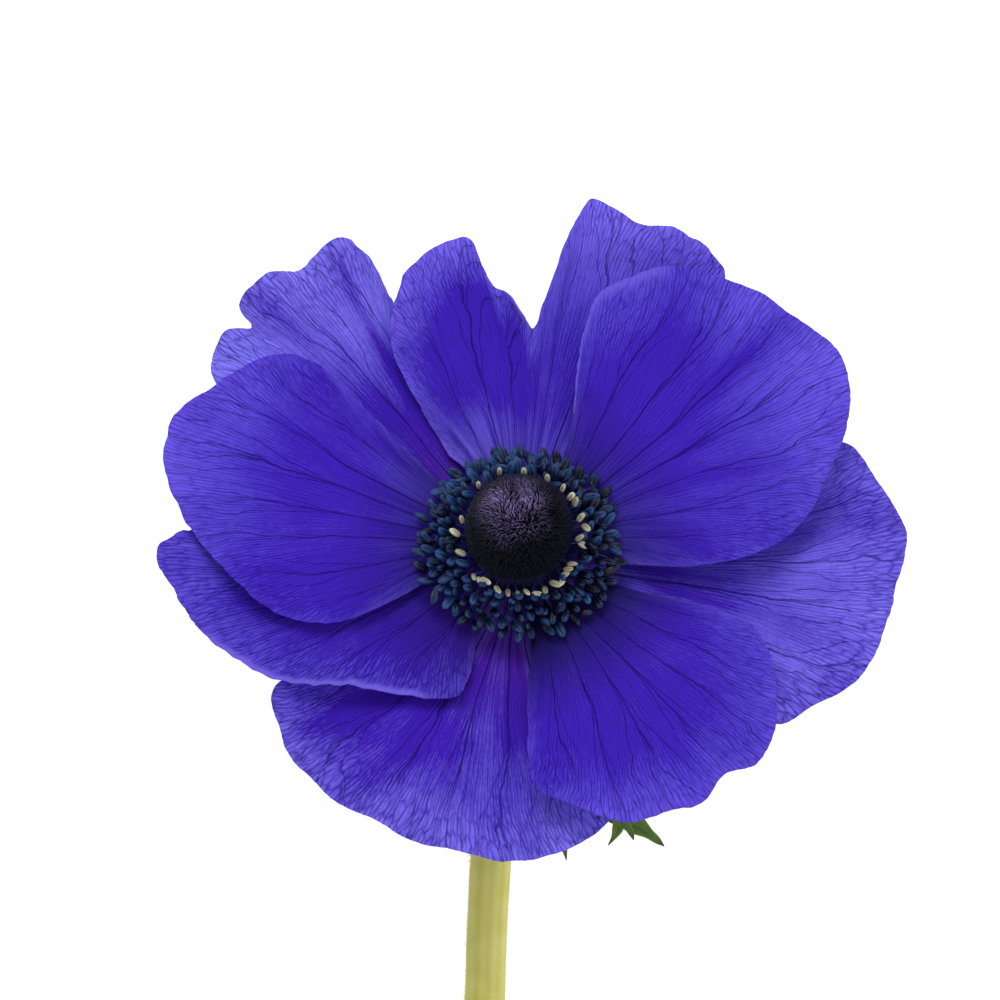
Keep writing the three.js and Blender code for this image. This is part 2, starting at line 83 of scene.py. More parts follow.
# Margins drawn flat in the bloom's plane, anticlockwise from one side of the claw to the other.
TEPALS = {
    "tepal_inner_right": {
        "layer": "inner", "at": 36.5, "waves": 7,
        "margin": [(10.5, -2), (20.5, -3), (27, -2), (31.5, 1), (34, 5), (37.5, 14.5), (37.5, 19.5),
            (35.5, 23.5), (31, 27.5), (26.5, 30.5), (20, 33), (14.5, 32.5), (9.5, 30.5), (7.5, 26),
            (6.5, 18.5), (6, 12)],
    },
    "tepal_inner_left": {
        "layer": "inner", "at": 163.5, "waves": 6,
        "margin": [(-9, 8), (-17, 16), (-24, 22), (-28, 22.5), (-35, 18), (-39, 15), (-40, 12), (-40.2, 8),
            (-37.5, 1.5), (-29.5, -8), (-25, -10), (-20, -10), (-14.5, -7), (-9, -3)],
    },
    "tepal_inner_lower": {
        "layer": "inner", "at": -50, "waves": 8,
        "margin": [(1.5, -9.5), (1, -21.5), (1.5, -30), (4, -32), (12, -34.5), (16.5, -33.5), (20, -32.5),
            (23, -28.5), (26, -28), (28.5, -22.5), (27.5, -13), (23.5, -9), (17, -6.5), (10.5, -5.5)],
    },
    "tepal_middle_top": {
        "layer": "middle", "at": 83, "waves": 9, "sags": True,
        "margin": [(7, 10.5), (18.5, 24.5), (24, 33), (22, 37), (18.5, 39.5), (14, 40), (10.5, 42.5),
            (8.5, 43.5), (6.5, 40.5), (3.5, 32.5), (1.5, 27.5), (0.5, 29), (-1.5, 32), (-3, 33), (-4.5, 36),
            (-6, 38.5), (-9, 38), (-12.5, 35), (-14.5, 29.5), (-14.5, 24.5), (-8, 12)],
    },
    "tepal_middle_left": {
        "layer": "middle", "at": -164, "waves": 6,
        "margin": [(-7.5, -0.5), (-21.5, 1.5), (-37.5, 1.5), (-41, -1.5), (-39, -5.5), (-35, -11.5),
            (-27.5, -16), (-17.5, -17), (-7, -18), (-6, -16.5), (-4.5, -9)],
    },
    "tepal_outer_top_left": {
        "layer": "outer", "at": 131, "waves": 11, "sags": True,
        "margin": [(-5.5, 11), (-14.5, 32), (-19.5, 39.5), (-22.5, 38.5), (-25.5, 36), (-29.5, 34.5),
            (-32.5, 31.5), (-31, 28), (-34, 28), (-35.5, 24.5), (-35, 21), (-19.5, 13), (-10, 8.5)],
    },
    "tepal_outer_right": {
        "layer": "outer", "at": -8, "waves": 9,
        "margin": [(9, -2), (22.5, -18), (29, -20.5), (33.5, -18.5), (36, -17.5), (38.5, -15), (41, -10.5),
            (42.5, -5), (44, 2), (42.5, 6.5), (40, 10.5), (37, 13.5), (20.5, 5.5), (9, 3)],
    },
    "tepal_outer_bottom": {
        "layer": "outer", "at": -108, "waves": 9,
        "margin": [(-5.5, -5), (-20, -13), (-27.5, -16.5), (-27, -21), (-25, -25.5), (-21, -29.5),
            (-15.5, -33), (-6, -36.5), (-1, -37), (4.5, -36.5), (8, -34), (11, -30.5), (10, -24), (3, -10)],
    },
}

# ---- finer sizes, only seen here

FINE_CLAW = 7.0  # claws overlap under the stamens
FINE_BLADE = 0.34  # thickness of living tissue, thinner still at the margin
FINE_STEP = 0.4  # along a margin
FINE_RAYS = 74  # rows from claw to margin

# Where the bloom's centre stands: over the dome in x, and a stem's length from the cut end in y.
low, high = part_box("dome")
BLOOM_X = (low[0] + high[0]) / 2 / MM
BLOOM_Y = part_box("stem")[0][1] / MM + STEM_LENGTH


def to_row(points):
    """Points in mm about the bloom's centre, z up, as metres in the frame."""
    return (np.asarray(points, float) + np.array([BLOOM_X, BLOOM_Y, 0.0])) * MM


def bloom_place(x, y, height):
    """From the bloom's own plane and axis to x, y, z in mm."""
    x, y, height = np.broadcast_arrays(x, y, height)
    return np.stack([
        x,
        y * math.cos(BLOOM_LEAN) + height * math.sin(BLOOM_LEAN),
        BLOOM_HEIGHT - y * math.sin(BLOOM_LEAN) + height * math.cos(BLOOM_LEAN),
    ], axis=-1)


def bloom_ring(turn, radius, height):
    """From a bearing and radius round the bloom's axis, and a height along it, to x, y, z in mm."""
    return bloom_place(radius * np.cos(turn), radius * np.sin(turn), height)


def bloom_aim(x, y, height):
    """The same lean for a direction."""
    return bloom_place(x, y, height) - bloom_place(0, 0, 0)


def unit(vectors):
    return vectors / np.maximum(np.linalg.norm(vectors, axis=-1, keepdims=True), 1e-9)


def smooth(low_edge, high_edge, value):
    """A soft step from 0 at one edge to 1 at the other."""
    share = np.clip((value - low_edge) / (high_edge - low_edge), 0, 1)
    return share * share * (3 - 2 * share)


class Ripple:
    """Smooth, repeatable irregularity of two variables, between about -1 and 1."""

    def __init__(self, seed, waves=7):
        draw = np.random.default_rng(seed)
        self.turn = draw.uniform(0, 2 * math.pi, waves)
        self.pace = draw.uniform(0.6, 1.6, waves)
        self.phase = draw.uniform(0, 2 * math.pi, waves)

    def __call__(self, x, y, length):
        total = 0
        for turn, pace, phase in zip(self.turn, self.pace, self.phase):
            step = 2 * math.pi * pace / length
            total = total + np.sin(step * (x * math.cos(turn) + y * math.sin(turn)) + phase)
        return total / math.sqrt(len(self.turn) * 2)


# ---- mesh making

def mesh_object(name, points, faces, material, layers=None, soft=50):
    """A mesh from points in mm about the bloom, and one or more arrays of faces.

    layers holds a value for every point.
    """
    mesh = bpy.data.meshes.new(name)
    faces = [np.asarray(part, np.int32) for part in (faces if isinstance(faces, list) else [faces])]
    sizes = np.concatenate([np.full(len(part), part.shape[1]) for part in faces])
    corners = np.concatenate([part.ravel() for part in faces])
    mesh.vertices.add(len(points))
    mesh.vertices.foreach_set("co", to_row(points).astype(np.float32).ravel())
    mesh.loops.add(len(corners))
    mesh.loops.foreach_set("vertex_index", corners)
    mesh.polygons.add(len(sizes))
    mesh.polygons.foreach_set("loop_start", (np.cumsum(sizes) - sizes).astype(np.int32))
    mesh.update(calc_edges=True)
    for layer, values in (layers or {}).items():
        attribute = mesh.attributes.new(layer, "FLOAT", "POINT")
        attribute.data.foreach_set("value", np.asarray(values, np.float32).ravel())
    mesh.polygons.foreach_set("use_smooth", np.ones(len(sizes), bool))
    mesh.set_sharp_from_angle(angle=math.radians(soft))
    mesh.validate()
    mesh.materials.append(material)
    piece = bpy.data.objects.new(name, mesh)
    bpy.context.scene.collection.objects.link(piece)
    return piece


def settle(slot, node, *mesh, **how):
    """A mesh object that rides on the one body and stands for a solid."""
    piece = mesh_object(*mesh, **how)
    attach(piece, "root")
    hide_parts(node)


def grid_faces(columns, rows):
    """Quads of a grid of points, counted row by row within each column."""
    column, row = np.meshgrid(np.arange(columns - 1), np.arange(rows - 1), indexing="ij")
    near = column.ravel() * rows + row.ravel()
    far = near + rows
    return np.stack([near, near + 1, far + 1, far], axis=1)


def grid_normals(surface):
    """Unit normals of a grid of points, pointing to the side that the bloom faces."""
    normal = unit(np.cross(np.gradient(surface, axis=1), np.gradient(surface, axis=0)))
    return normal * np.sign((normal @ bloom_aim(0, 0, 1)).mean())


def blade(first, second):
    """Points and quads of a thin closed blade, from the grids of points of its two faces."""
    columns, rows = first.shape[:2]
    below = columns * rows
    index = np.arange(below).reshape(columns, rows)
    rim = np.concatenate([index[0, :-1], index[:-1, -1], index[-1, :0:-1], index[:0:-1, 0]])
    after = np.roll(rim, -1)
    faces = grid_faces(columns, rows)
    walls = np.stack([rim, after, after + below, rim + below], axis=1)
    points = np.concatenate([first.reshape(-1, 3), second.reshape(-1, 3)])
    return points, np.concatenate([faces, faces[:, ::-1] + below, walls])


def plain_layers(points, tone):
    """Layers of a mesh that has one tone and no marks."""
    return {"tone": np.full(len(points), tone), "mark": np.zeros(len(points))}


def ring_walls(rings, sides):
    """Quads between rings of points that run round in one sense."""
    step, place = np.divmod(np.arange((rings - 1) * sides), sides)
    after = (place + 1) % sides
    return np.stack([step * sides + place, (step + 1) * sides + place,
                     (step + 1) * sides + after, step * sides + after], axis=1)


def ring_ends(rings, sides):
    """The faces that close the first and the last ring."""
    return np.stack([np.arange(sides), (rings - 1) * sides + np.arange(sides)[::-1]])


def tubes(paths, radii, sides):
    """Closed tapered tubes along many paths: paths (n, steps, 3), radii (n, steps)."""
    count, steps, _ = paths.shape
    along = unit(np.gradient(paths, axis=1))
    helper = np.where(np.abs(along[:, :1, 2:3]) < 0.8, [[[0, 0, 1.0]]], [[[1.0, 0, 0]]])
    side = unit(np.cross(along, helper))
    up = np.cross(side, along)
    angle = 2 * math.pi * np.arange(sides) / sides
    ring = side[:, :, None] * np.cos(angle)[:, None] + up[:, :, None] * np.sin(angle)[:, None]
    skin = paths[:, :, None] + ring * radii[:, :, None, None]
    shift = (np.arange(count) * steps * sides)[:, None, None]
    walls, ends = ring_walls(steps, sides), ring_ends(steps, sides)
    return skin.reshape(-1, 3), [(walls + shift).reshape(-1, 4), (ends + shift).reshape(-1, sides)]


def copies(form, walls, frames, centres):
    """Many copies of one small form: frames (n, 3, 3) hold its scaled axes in rows."""
    points = np.einsum("pk,nkj->npj", form, frames) + centres[:, None]
    shift = (np.arange(len(frames)) * len(form))[:, None, None]
    return points.reshape(-1, 3), [(part[None] + shift).reshape(-1, part.shape[1]) for part in walls]


def merge(parts):
    """Points and faces of several parts as one mesh's."""
    points, faces, base = [], {}, 0
    for part_points, part_faces in parts:
        for array in part_faces:
            faces.setdefault(array.shape[1], []).append(array + base)
        points.append(part_points)
        base += len(part_points)
    return np.concatenate(points), [np.concatenate(arrays) for arrays in faces.values()]


# ---- materials

def srgb(code):
    """An sRGB hex value as linear red, green, blue and alpha."""
    parts = [int(code[i:i + 2], 16) / 255 for i in (1, 3, 5)]
    return [p / 12.92 if p <= 0.04045 else ((p + 0.055) / 1.055) ** 2.4 for p in parts] + [1.0]


def add(tree, kind, *values, **named):
    """One node of a kind, alone or with settings, and what goes into its inputs, in order or by name.

    Each is a value, a socket, or a node whose first output is meant.
    """
    kind, settings = (kind, {}) if isinstance(kind, str) else kind
    node = tree.nodes.new("ShaderNode" + kind)
    for key, value in settings.items():
        setattr(node, key, value)
    inputs = list(zip(node.inputs, values))
    inputs += [(node.inputs[key.replace("_", " ")], value) for key, value in named.items()]
    for socket, value in inputs:
        source = value.outputs[0] if isinstance(value, bpy.types.Node) else value
        if isinstance(source, bpy.types.NodeSocket):
            tree.links.new(source, socket)
        else:
            socket.default_value = source
    return node


def new_material(name):
    material = bpy.data.materials.new(name)
    material.use_nodes = True
    material.node_tree.nodes.clear()
    return material, material.node_tree


def set_surface(tree, **shader):
    """A material's one surface shader, with what goes into its inputs by name."""
    surface = add(tree, "BsdfPrincipled", **shader)
    add(tree, "OutputMaterial", Surface=surface)


# Kinds of node with their settings.
PLUS, LESS, TIMES, TIMES_PLUS, OVER, POWER, LOGARITHM, SIZE, FLOOR, FRACTION, LARGER = (
    ("Math", {"operation": operation}) for operation in (
        "ADD", "SUBTRACT", "MULTIPLY", "MULTIPLY_ADD", "DIVIDE", "POWER", "LOGARITHM", "ABSOLUTE",
        "FLOOR", "FRACT", "MAXIMUM"))
TIMES_PLUS_SHARE = ("Math", {"operation": "MULTIPLY_ADD", "use_clamp": True})
SOFT_STEP = ("MapRange", {"interpolation_type": "SMOOTHSTEP"})
FLAT_NOISE = ("TexNoise", {"noise_dimensions": "2D"})
NET = ("TexVoronoi", {"feature": "DISTANCE_TO_EDGE", "voronoi_dimensions": "2D"})


# Velvety petal tissue: pigment in raised cells over paler tissue. It is deep where it is thick and
# pale towards the thin margin, where painted sheen pales it further. Fine dark striae run out all over
# it, main veins part and join in loops, and near the margin both end in a net.
def tepal_material(name, body, margin, vein, heart, crinkle, netted):
    material, tree = new_material(name)
    girth, across, ray, along, squeeze, edge, pale, shade, fold = (
        add(tree, ("Attribute", {"attribute_name": key})).outputs["Fac"]
        for key in ("girth", "across", "ray", "along", "squeeze", "edge", "pale", "shade", "fold"))

    def strip(line, per_mm, out_per_mm):
        """A place in a pattern drawn out along the rays: meshes to a mm of margin, and to a mm out."""
        x = add(tree, TIMES_PLUS, line, per_mm, 50 * per_mm)
        y = add(tree, TIMES, along, out_per_mm)
        return add(tree, "CombineXYZ", x, y)

    # A slow wander bends every line a little, and each line zigzags finely on its way.
    wander = add(tree, FLAT_NOISE, Vector=strip(girth, 0.07, 0.06), Scale=1.0, Detail=2.0)
    drift = add(tree, TIMES, add(tree, LESS, wander, 0.5), ray)
    line = add(tree, TIMES_PLUS, drift, 4.0, girth)
    zigzag = add(tree, FLAT_NOISE, Vector=strip(line, 0.45, 0.3), Scale=1.0, Detail=4.0,
                 Roughness=0.55)
    zigzag = add(tree, LESS, zigzag, 0.5)
    line = add(tree, TIMES_PLUS, zigzag, 0.55, line)

    # Striae lie STRIA_SPACING apart. Where the tepal has widened to twice as much, new ones have
    # grown between them: so their number doubles from one width to the next.
    doublings = add(tree, LOGARITHM, add(tree, OVER, squeeze, STRIA_SPACING), 2.0)
    whole = add(tree, FLOOR, doublings)
    grown_in = add(tree, FRACTION, doublings)
    striae = 0.0
    for extra, share in ((0.0, 1.0), (1.0, grown_in)):
        per_mm = add(tree, POWER, 2.0, add(tree, PLUS, whole, extra))
        place = add(tree, FRACTION, add(tree, TIMES_PLUS, line, per_mm, 0.5))
        off = add(tree, SIZE, add(tree, LESS, place, 0.5))
        off = add(tree, TIMES, add(tree, OVER, off, per_mm), squeeze)
        drawn = add(tree, SOFT_STEP, off, 0.02, STRIA_WIDTH, share, 0.0)
        striae = add(tree, LARGER, drawn, striae)
    breaks = add(tree, FLAT_NOISE, Vector=strip(line, 1.1, 0.35), Scale=1.0, Detail=1.0)
    striae = add(tree, TIMES, striae, add(tree, "MapRange", breaks, 0.3, 0.7, 0.35, 1.0))

    # Main veins keep towards the tip. Side veins part from them, each at its own height, and meet
    # the neighbours' in loops inside the margin.
    ray_squared = add(tree, TIMES, ray, ray)
    centred = add(tree, LESS, add(tree, TIMES_PLUS, drift, 0.1, across), 0.5)
    centred = add(tree, TIMES_PLUS, zigzag, 0.012, centred)
    main = add(tree, OVER, centred, add(tree, TIMES_PLUS, ray_squared, -0.3, 1.0))
    cell = add(tree, TIMES_PLUS, main, MAIN_VEINS, 20.0)
    half = add(tree, FLOOR, add(tree, TIMES, cell, 2.0))
    late = add(tree, ("TexWhiteNoise", {"noise_dimensions": "1D"}), W=half)
    grown = add(tree, TIMES_PLUS, late, -0.3, ray)
    apart = add(tree, SIZE, add(tree, LESS, add(tree, FRACTION, cell), 0.5))
    vein_gap = add(tree, TIMES, squeeze, USUAL_GIRTH / MAIN_VEINS)
    off = add(tree, TIMES, apart, vein_gap)
    fade = add(tree, SOFT_STEP, grown, 0.95, 0.6, 0.0, 1.0)
    veins = add(tree, SOFT_STEP, off, 0.04, 0.15, fade, 0.0)
    for start, end, reach in ((0.3, 0.9, 0.42), (0.55, 1.05, 0.2)):
        parted = add(tree, SOFT_STEP, grown, start, end, 0.0, reach)
        off = add(tree, SIZE, add(tree, LESS, apart, parted))
        off = add(tree, TIMES, off, vein_gap)
        side = add(tree, SOFT_STEP, off, 0.03, 0.13, 0.7, 0.0)
        started = add(tree, SOFT_STEP, grown, start, start + 0.1, 0.0, 1.0)
        veins = add(tree, LARGER, veins, add(tree, TIMES, side, started))

    # The net at the margin: meshes 0.6 mm across and three times as long, with wavering sides.
    waver = add(tree, FLAT_NOISE, Vector=strip(girth, 0.7, 0.6), Scale=1.0, Detail=2.0)
    mesh = add(tree, ("MixRGB", {"blend_type": "LINEAR_LIGHT"}), 0.3, strip(line, 1.5, 0.4),
               waver.outputs["Color"])
    cells = add(tree, NET, Vector=mesh, Scale=1.0, Randomness=0.85)
    outer = add(tree, SOFT_STEP, edge, NET_DEPTH, 0.5, 0.0, 1.0)
    swell = add(tree, SOFT_STEP, cells.outputs["Distance"], 0.05, 0.4, 0.0, outer)
    net = add(tree, SOFT_STEP, cells.outputs["Distance"], 0.01, 0.13, outer, 0.0)

    grain = add(tree, FLAT_NOISE, Vector=strip(line, 3.2, 1.3), Scale=1.0, Detail=2.0,
                Roughness=0.6)
    streak = add(tree, FLAT_NOISE, Vector=strip(line, 0.2, 0.05), Scale=1.0, Detail=4.0,
                 Roughness=0.6)
    cloud = add(tree, FLAT_NOISE, Vector=strip(line, 0.08, 0.1), Scale=1.0, Detail=2.0)

    # Colour: deep tissue, paler to the margin, in streaks and between the veins. The grain's pale specks are
    # painted glints, and the paler middles of the net's swelling cells are painted highlight.
    for pattern, middle, amount in ((streak, 0.5, 0.9 * crinkle), (cloud, 0.5, 0.8 * crinkle),
                                    (grain, 0.5, 0.4), (swell, 0.2, 0.25 * crinkle)):
        off = add(tree, LESS, pattern, middle)
        pale = add(tree, TIMES_PLUS, off, amount, pale)
    pale = add(tree, TIMES_PLUS_SHARE, striae, -0.12, pale)
    colour = add(tree, "MixRGB", pale, srgb(body), srgb(margin))
    colour = add(tree, "MixRGB", shade, colour, srgb(heart))
    for lines, strength in ((striae, 0.62 - 0.3 * crinkle), (net, netted), (veins, 0.84)):
        share = add(tree, TIMES, lines, strength)
        colour = add(tree, "MixRGB", share, colour, srgb(vein))
    # Painted sheen where a margin curls.
    colour = add(tree, "MixRGB", fold, colour, srgb(CURL_SHEEN))

    # Relief: the lines lie in furrows and the tissue between swells.
    relief = add(tree, TIMES_PLUS, veins, -1.0, add(tree, TIMES, striae, -0.4))
    for pattern, amount in ((swell, 0.4 * crinkle), (grain, 0.45), (streak, 1.4 * crinkle)):
        relief = add(tree, TIMES_PLUS, pattern, amount, relief)
    bump = add(tree, "Bump", Strength=0.35, Distance=0.12 * MM, Height=relief)
    set_surface(tree, Base_Color=colour, Normal=bump, Roughness=0.66, IOR=1.42, Specular_IOR_Level=0.05,
                Sheen_Weight=0.02, Sheen_Roughness=0.4, Sheen_Tint=srgb("#7b70ff"))
    return material


# Painted sheen, a pale violet, on steeply curled stretches of margin.
CURL_SHEEN = "#7a68e0"  # shows where a margin curls over
MAIN_VEINS = 9.0  # on a tepal
STRIA_SPACING = 0.42  # mm, at the least; real ones are finer than a render shows
STRIA_WIDTH = 0.13  # mm to each side, where a stria has faded out
USUAL_GIRTH = 90.0  # of a tepal along its margin, mm
NET_DEPTH = 10.0  # mm in from the margin
# Body, margin, vein and shaded heart, then how puckered the tissue is and how dark its net.
TISSUE = {
    "inner": tepal_material("petal_tissue_inner", "#3a1eae", "#6c59e2", "#13055a", "#161038", 0.5, 0.2),
    "middle": tepal_material("petal_tissue_middle", "#391cab", "#7b6bf2", "#150660", "#221050", 0.5, 0.34),
    "outer": tepal_material("petal_tissue_outer", "#3c1bac", "#8c82ff", "#180768", "#541888", 0.68, 0.46),
}


def grown_material(name, colours, rough, grain_mm, mottle_mm, mottled=0.9, sheen=0.0, specular=0.3):
    """Grown tissue: a mottle between two colours by the tone of each point, and a fine grain.

    A third colour lies where the mesh is marked.
    """
    material, tree = new_material(name)
    place = add(tree, "TexCoord").outputs["Object"]
    mottle = add(tree, "TexNoise", Vector=place, Scale=1 / (mottle_mm * MM), Detail=3.0)
    grain = add(tree, "TexNoise", Vector=place, Scale=1 / (grain_mm * MM), Detail=2.0)
    tone = add(tree, ("Attribute", {"attribute_name": "tone"})).outputs["Fac"]
    mark = add(tree, ("Attribute", {"attribute_name": "mark"})).outputs["Fac"]
    off = add(tree, LESS, mottle, 0.5)
    share = add(tree, TIMES_PLUS_SHARE, off, mottled, tone)
    colour = add(tree, "MixRGB", share, srgb(colours[0]), srgb(colours[1]))
    colour = add(tree, "MixRGB", mark, colour, srgb(colours[2]))
    bump = add(tree, "Bump", Strength=0.3, Distance=0.05 * MM, Height=grain)
    set_surface(tree, Base_Color=colour, Normal=bump, Roughness=rough, Sheen_Weight=sheen, IOR=1.42,
                Specular_IOR_Level=specular)
    return material


# Anthers have a taut, faintly waxy skin, blue-black or cream, darker in the seams.
ANTHER_DARK = grown_material("anther_skin_dark", ["#03061a", "#2a4c80", "#02040e"], 0.36, 0.12, 0.5,
                             specular=0.25)
ANTHER_PALE = grown_material("anther_skin_pale", ["#8c8a6e", "#d6d4bc", "#5c5a44"], 0.6, 0.08, 0.4)
# Filaments and styles are smooth threads with a soft shine.
FILAMENT = grown_material("filament_violet", ["#150f40", "#33267c", "#150f40"], 0.45, 0.15, 0.8)
# The styles' pale violet-grey is painted light on the crown.
STYLE = grown_material("style_thread", ["#050b0d", "#b8a6ec", "#06060c"], 0.4, 0.2, 0.14,
                       mottled=0.2, specular=0.1)
CARPEL_BED = grown_material("carpel_bed", ["#030406", "#08080c", "#030406"], 0.8, 0.2, 1.0,
                            specular=0.05)
# The stem is smooth, pale and faintly downy. Old bracts are dull green with dry brown tips.
STEM_SKIN = grown_material("stem_skin", ["#bdb84e", "#dbd680", "#8d8a42"], 0.5, 0.25, 3.0, sheen=0.05)
BRACT_SKIN = grown_material("bract_leaf", ["#3f6a20", "#84a044", "#5c5238"], 0.6, 0.2, 1.5, sheen=0.1)
DOWN = grown_material("down_hair", ["#c9c796", "#e4e2c6", "#c9c796"], 0.6, 0.3, 2.0)

# ---- tepals


def margin_line(drawn):
    """The drawn margin as a centripetal curve through its points, finely and evenly stepped.

    Returns the points and how far along the margin each lies, counted as the solids count it.
    """
    drawn = np.array(drawn, float)
    ends = np.vstack([2 * drawn[0] - drawn[1], drawn, 2 * drawn[-1] - drawn[-2]])
    chords = np.linalg.norm(np.diff(drawn, axis=0), axis=1)
    solid_steps = np.maximum(1, np.floor(chords / MARGIN_STEP + 0.5))
    passed = np.concatenate([[0], np.cumsum(solid_steps)])
    points, along = [], []
    for span in range(len(drawn) - 1):
        before, start, end, after = ends[span:span + 4]
        gaps = [np.sqrt(np.linalg.norm(b - a)) for a, b in ((before, start), (start, end), (end, after))]
        leave = ((start - before) / gaps[0] - (end - before) / (gaps[0] + gaps[1])
                 + (end - start) / gaps[1]) * gaps[1]
        arrive = ((end - start) / gaps[1] - (after - start) / (gaps[1] + gaps[2])
                  + (after - end) / gaps[2]) * gaps[1]
        steps = max(2, int(chords[span] / FINE_STEP + 0.5))
        share = np.arange(steps + (span == len(drawn) - 2)) / steps
        t = share[:, None]
        points.append((2 * t**3 - 3 * t**2 + 1) * start + (t**3 - 2 * t**2 + t) * leave
                      + (3 * t**2 - 2 * t**3) * end + (t**3 - t**2) * arrive)
        along.append((passed[span] + share * solid_steps[span]) / passed[-1])
    return np.vstack(points), np.concatenate(along)


def tepal_height(tepal, x, y, along, ray):
    """The solid's height over the bloom's plane."""
    layer = LAYERS[tepal["layer"]]
    share = np.maximum(0, (np.hypot(x, y) - CLAW_RADIUS) / REACH)
    at = math.radians(tepal["at"])
    across = (x * math.sin(at) - y * math.cos(at)) / SPOON_AT
    wave = layer["wave"] * np.sin(2 * math.pi * tepal["waves"] * along) * ray**3
    return (layer["claw"] + layer["rise"] * share**1.15 + layer["spoon"] * across**2
            + wave * np.minimum(1, share * 1.2))


# Looks of each tepal. "out": where it turns pale along its rays, and how much; the paler margin is thinner
# tissue and painted sheen. "rim": how much paler its very rim is. "claw": how much painted sheen streaks
# its claw, and how dark in the stamens' shade. "spots" that are paler or deeper: place as shares of the
# margin and of the ray, widths likewise, and how much. Some are the tissue's own blotches, some painted
# light on ridges and near the claw, and the narrowest deeper ones painted shade in folds. "curls",
# stretches of margin: from and to as shares of it, height and width in mm, and how much painted sheen
# lies on the curl.
LOOKS = {
    "tepal_inner_right": {
        "out": (0.4, 1.0, 0.42), "rim": 0.1, "claw": (0.42, 0.65),
        "spots": [(0.56, 0.7, 0.025, 0.35, -0.4), (0.46, 0.9, 0.06, 0.3, 0.32),
            (0.62, 1.0, 0.05, 0.15, 0.35), (0.36, 0.6, 0.08, 0.25, 0.05), (0.75, 0.65, 0.12, 0.3, -0.3),
            (0.14, 0.9, 0.1, 0.3, -0.25), (0.4, 1.0, 0.05, 0.3, 0.12), (1.0, 0.6, 0.03, 0.4, 0.35),
            (0.03, 0.4, 0.05, 0.3, 0.2)],
        "curls": [(0.72, 0.97, 0.8, 1.7, 0.45)],
    },
    "tepal_inner_left": {
        "out": (0.5, 1.0, 0.32), "rim": 0.14, "claw": (0.4, 0.6),
        "spots": [(0.48, 1.0, 0.12, 0.3, 0.35), (0.3, 1.0, 0.08, 0.2, -0.15), (0.78, 0.95, 0.12, 0.35, -0.3),
            (0.25, 0.35, 0.08, 0.2, 0.3), (0.03, 0.4, 0.06, 0.3, 0.25)],
        "curls": [(0.04, 0.3, -0.5, 1.5, 0.0), (0.55, 0.9, -0.5, 1.5, 0.0)],
    },
    "tepal_inner_lower": {
        "out": (0.65, 1.0, 0.32), "rim": 0.14, "claw": (0.2, 1.0),
        "spots": [(0.4, 1.0, 0.1, 0.2, 0.15), (0.7, 0.95, 0.1, 0.3, 0.12), (0.22, 0.8, 0.08, 0.3, -0.15),
            (0.8, 0.35, 0.08, 0.2, 0.3)],
        "curls": [(0.0, 0.3, -0.4, 1.5, 0.0)],
    },
    "tepal_middle_top": {
        "out": (0.6, 1.0, 0.34), "rim": 0.1, "claw": (0.78, 0.3),
        "spots": [(0.38, 1.0, 0.13, 0.45, 0.45), (0.72, 1.0, 0.1, 0.12, 0.45), (0.75, 0.7, 0.1, 0.22, -0.3),
            (0.61, 0.85, 0.04, 0.25, -0.35), (0.86, 0.42, 0.07, 0.2, 0.35), (1.0, 0.5, 0.05, 0.35, 0.3),
            (0.2, 0.6, 0.1, 0.3, 0.15)],
        "curls": [(0.54, 0.64, 1.6, 0.8, 0.8)],
    },
    "tepal_middle_left": {
        "out": (0.6, 1.0, 0.26), "rim": 0.08, "claw": (0.1, 0.7),
        "spots": [(0.42, 1.0, 0.1, 0.3, 0.1), (0.65, 0.8, 0.15, 0.2, -0.08), (0.88, 0.8, 0.05, 0.3, -0.15)],
        "curls": [(0.5, 0.84, 1.0, 0.9, 0.7)],
    },
    "tepal_outer_top_left": {
        "out": (0.4, 0.75, 0.56), "rim": 0.06, "claw": (0.1, 0.6),
        "spots": [(0.63, 0.95, 0.06, 0.25, 0.5), (0.4, 0.95, 0.06, 0.2, 0.12),
            (0.39, 0.75, 0.014, 0.3, -0.45), (0.5, 0.9, 0.014, 0.2, -0.4)],
        "curls": [(0.3, 0.42, -1.0, 1.6, 0.0), (0.5, 0.58, -1.0, 1.6, 0.0)],
    },
    "tepal_outer_right": {
        "out": (0.36, 0.72, 0.46), "rim": 0.03, "claw": (0.35, 0.0),
        "spots": [(0.64, 0.9, 0.05, 0.3, -0.08), (0.48, 0.4, 0.2, 0.15, 0.05), (0.36, 0.7, 0.03, 0.2, 0.15),
            (0.33, 1.0, 0.06, 0.15, -0.15)],
        "curls": [(0.2, 0.5, -0.6, 1.6, 0.0)],
    },
    "tepal_outer_bottom": {
        "out": (0.5, 1.1, 0.4), "rim": 0.06, "claw": (0.3, 0.5),
        "spots": [(0.3, 0.95, 0.14, 0.35, -0.09), (0.55, 0.95, 0.1, 0.2, 0.08), (0.72, 0.9, 0.07, 0.3, 0.18),
            (0.63, 0.6, 0.04, 0.3, 0.15)],
        "curls": [(0.25, 0.6, -0.6, 1.8, 0.0)],
    },
}
# How strong the fine form of each layer is: the outer tepals are the oldest and limpest.
FORM = {"inner": 0.5, "middle": 0.8, "outer": 1.3}
PLEATS = 15  # on a tepal
PLEAT_HEIGHT = 0.15
UNEVEN_HEIGHT = 0.28
CRIMP_HEIGHT = 0.16
NIBBLES = ((0.05, 1.3), (0.12, 3.8))  # small and wide nicks in a margin: depth and length
RAY_BOW = 0.3  # how early a ray bends out sideways
RIM_FADE = 2.5  # how far in the paler rim reaches
# Painted sheen streaks each claw out to here.
SHEEN_CLAW = (17, 5)  # from the claw, where its paleness ends and is full
SHADED_CLAW = (20, 5)  # likewise for the stamens' shade


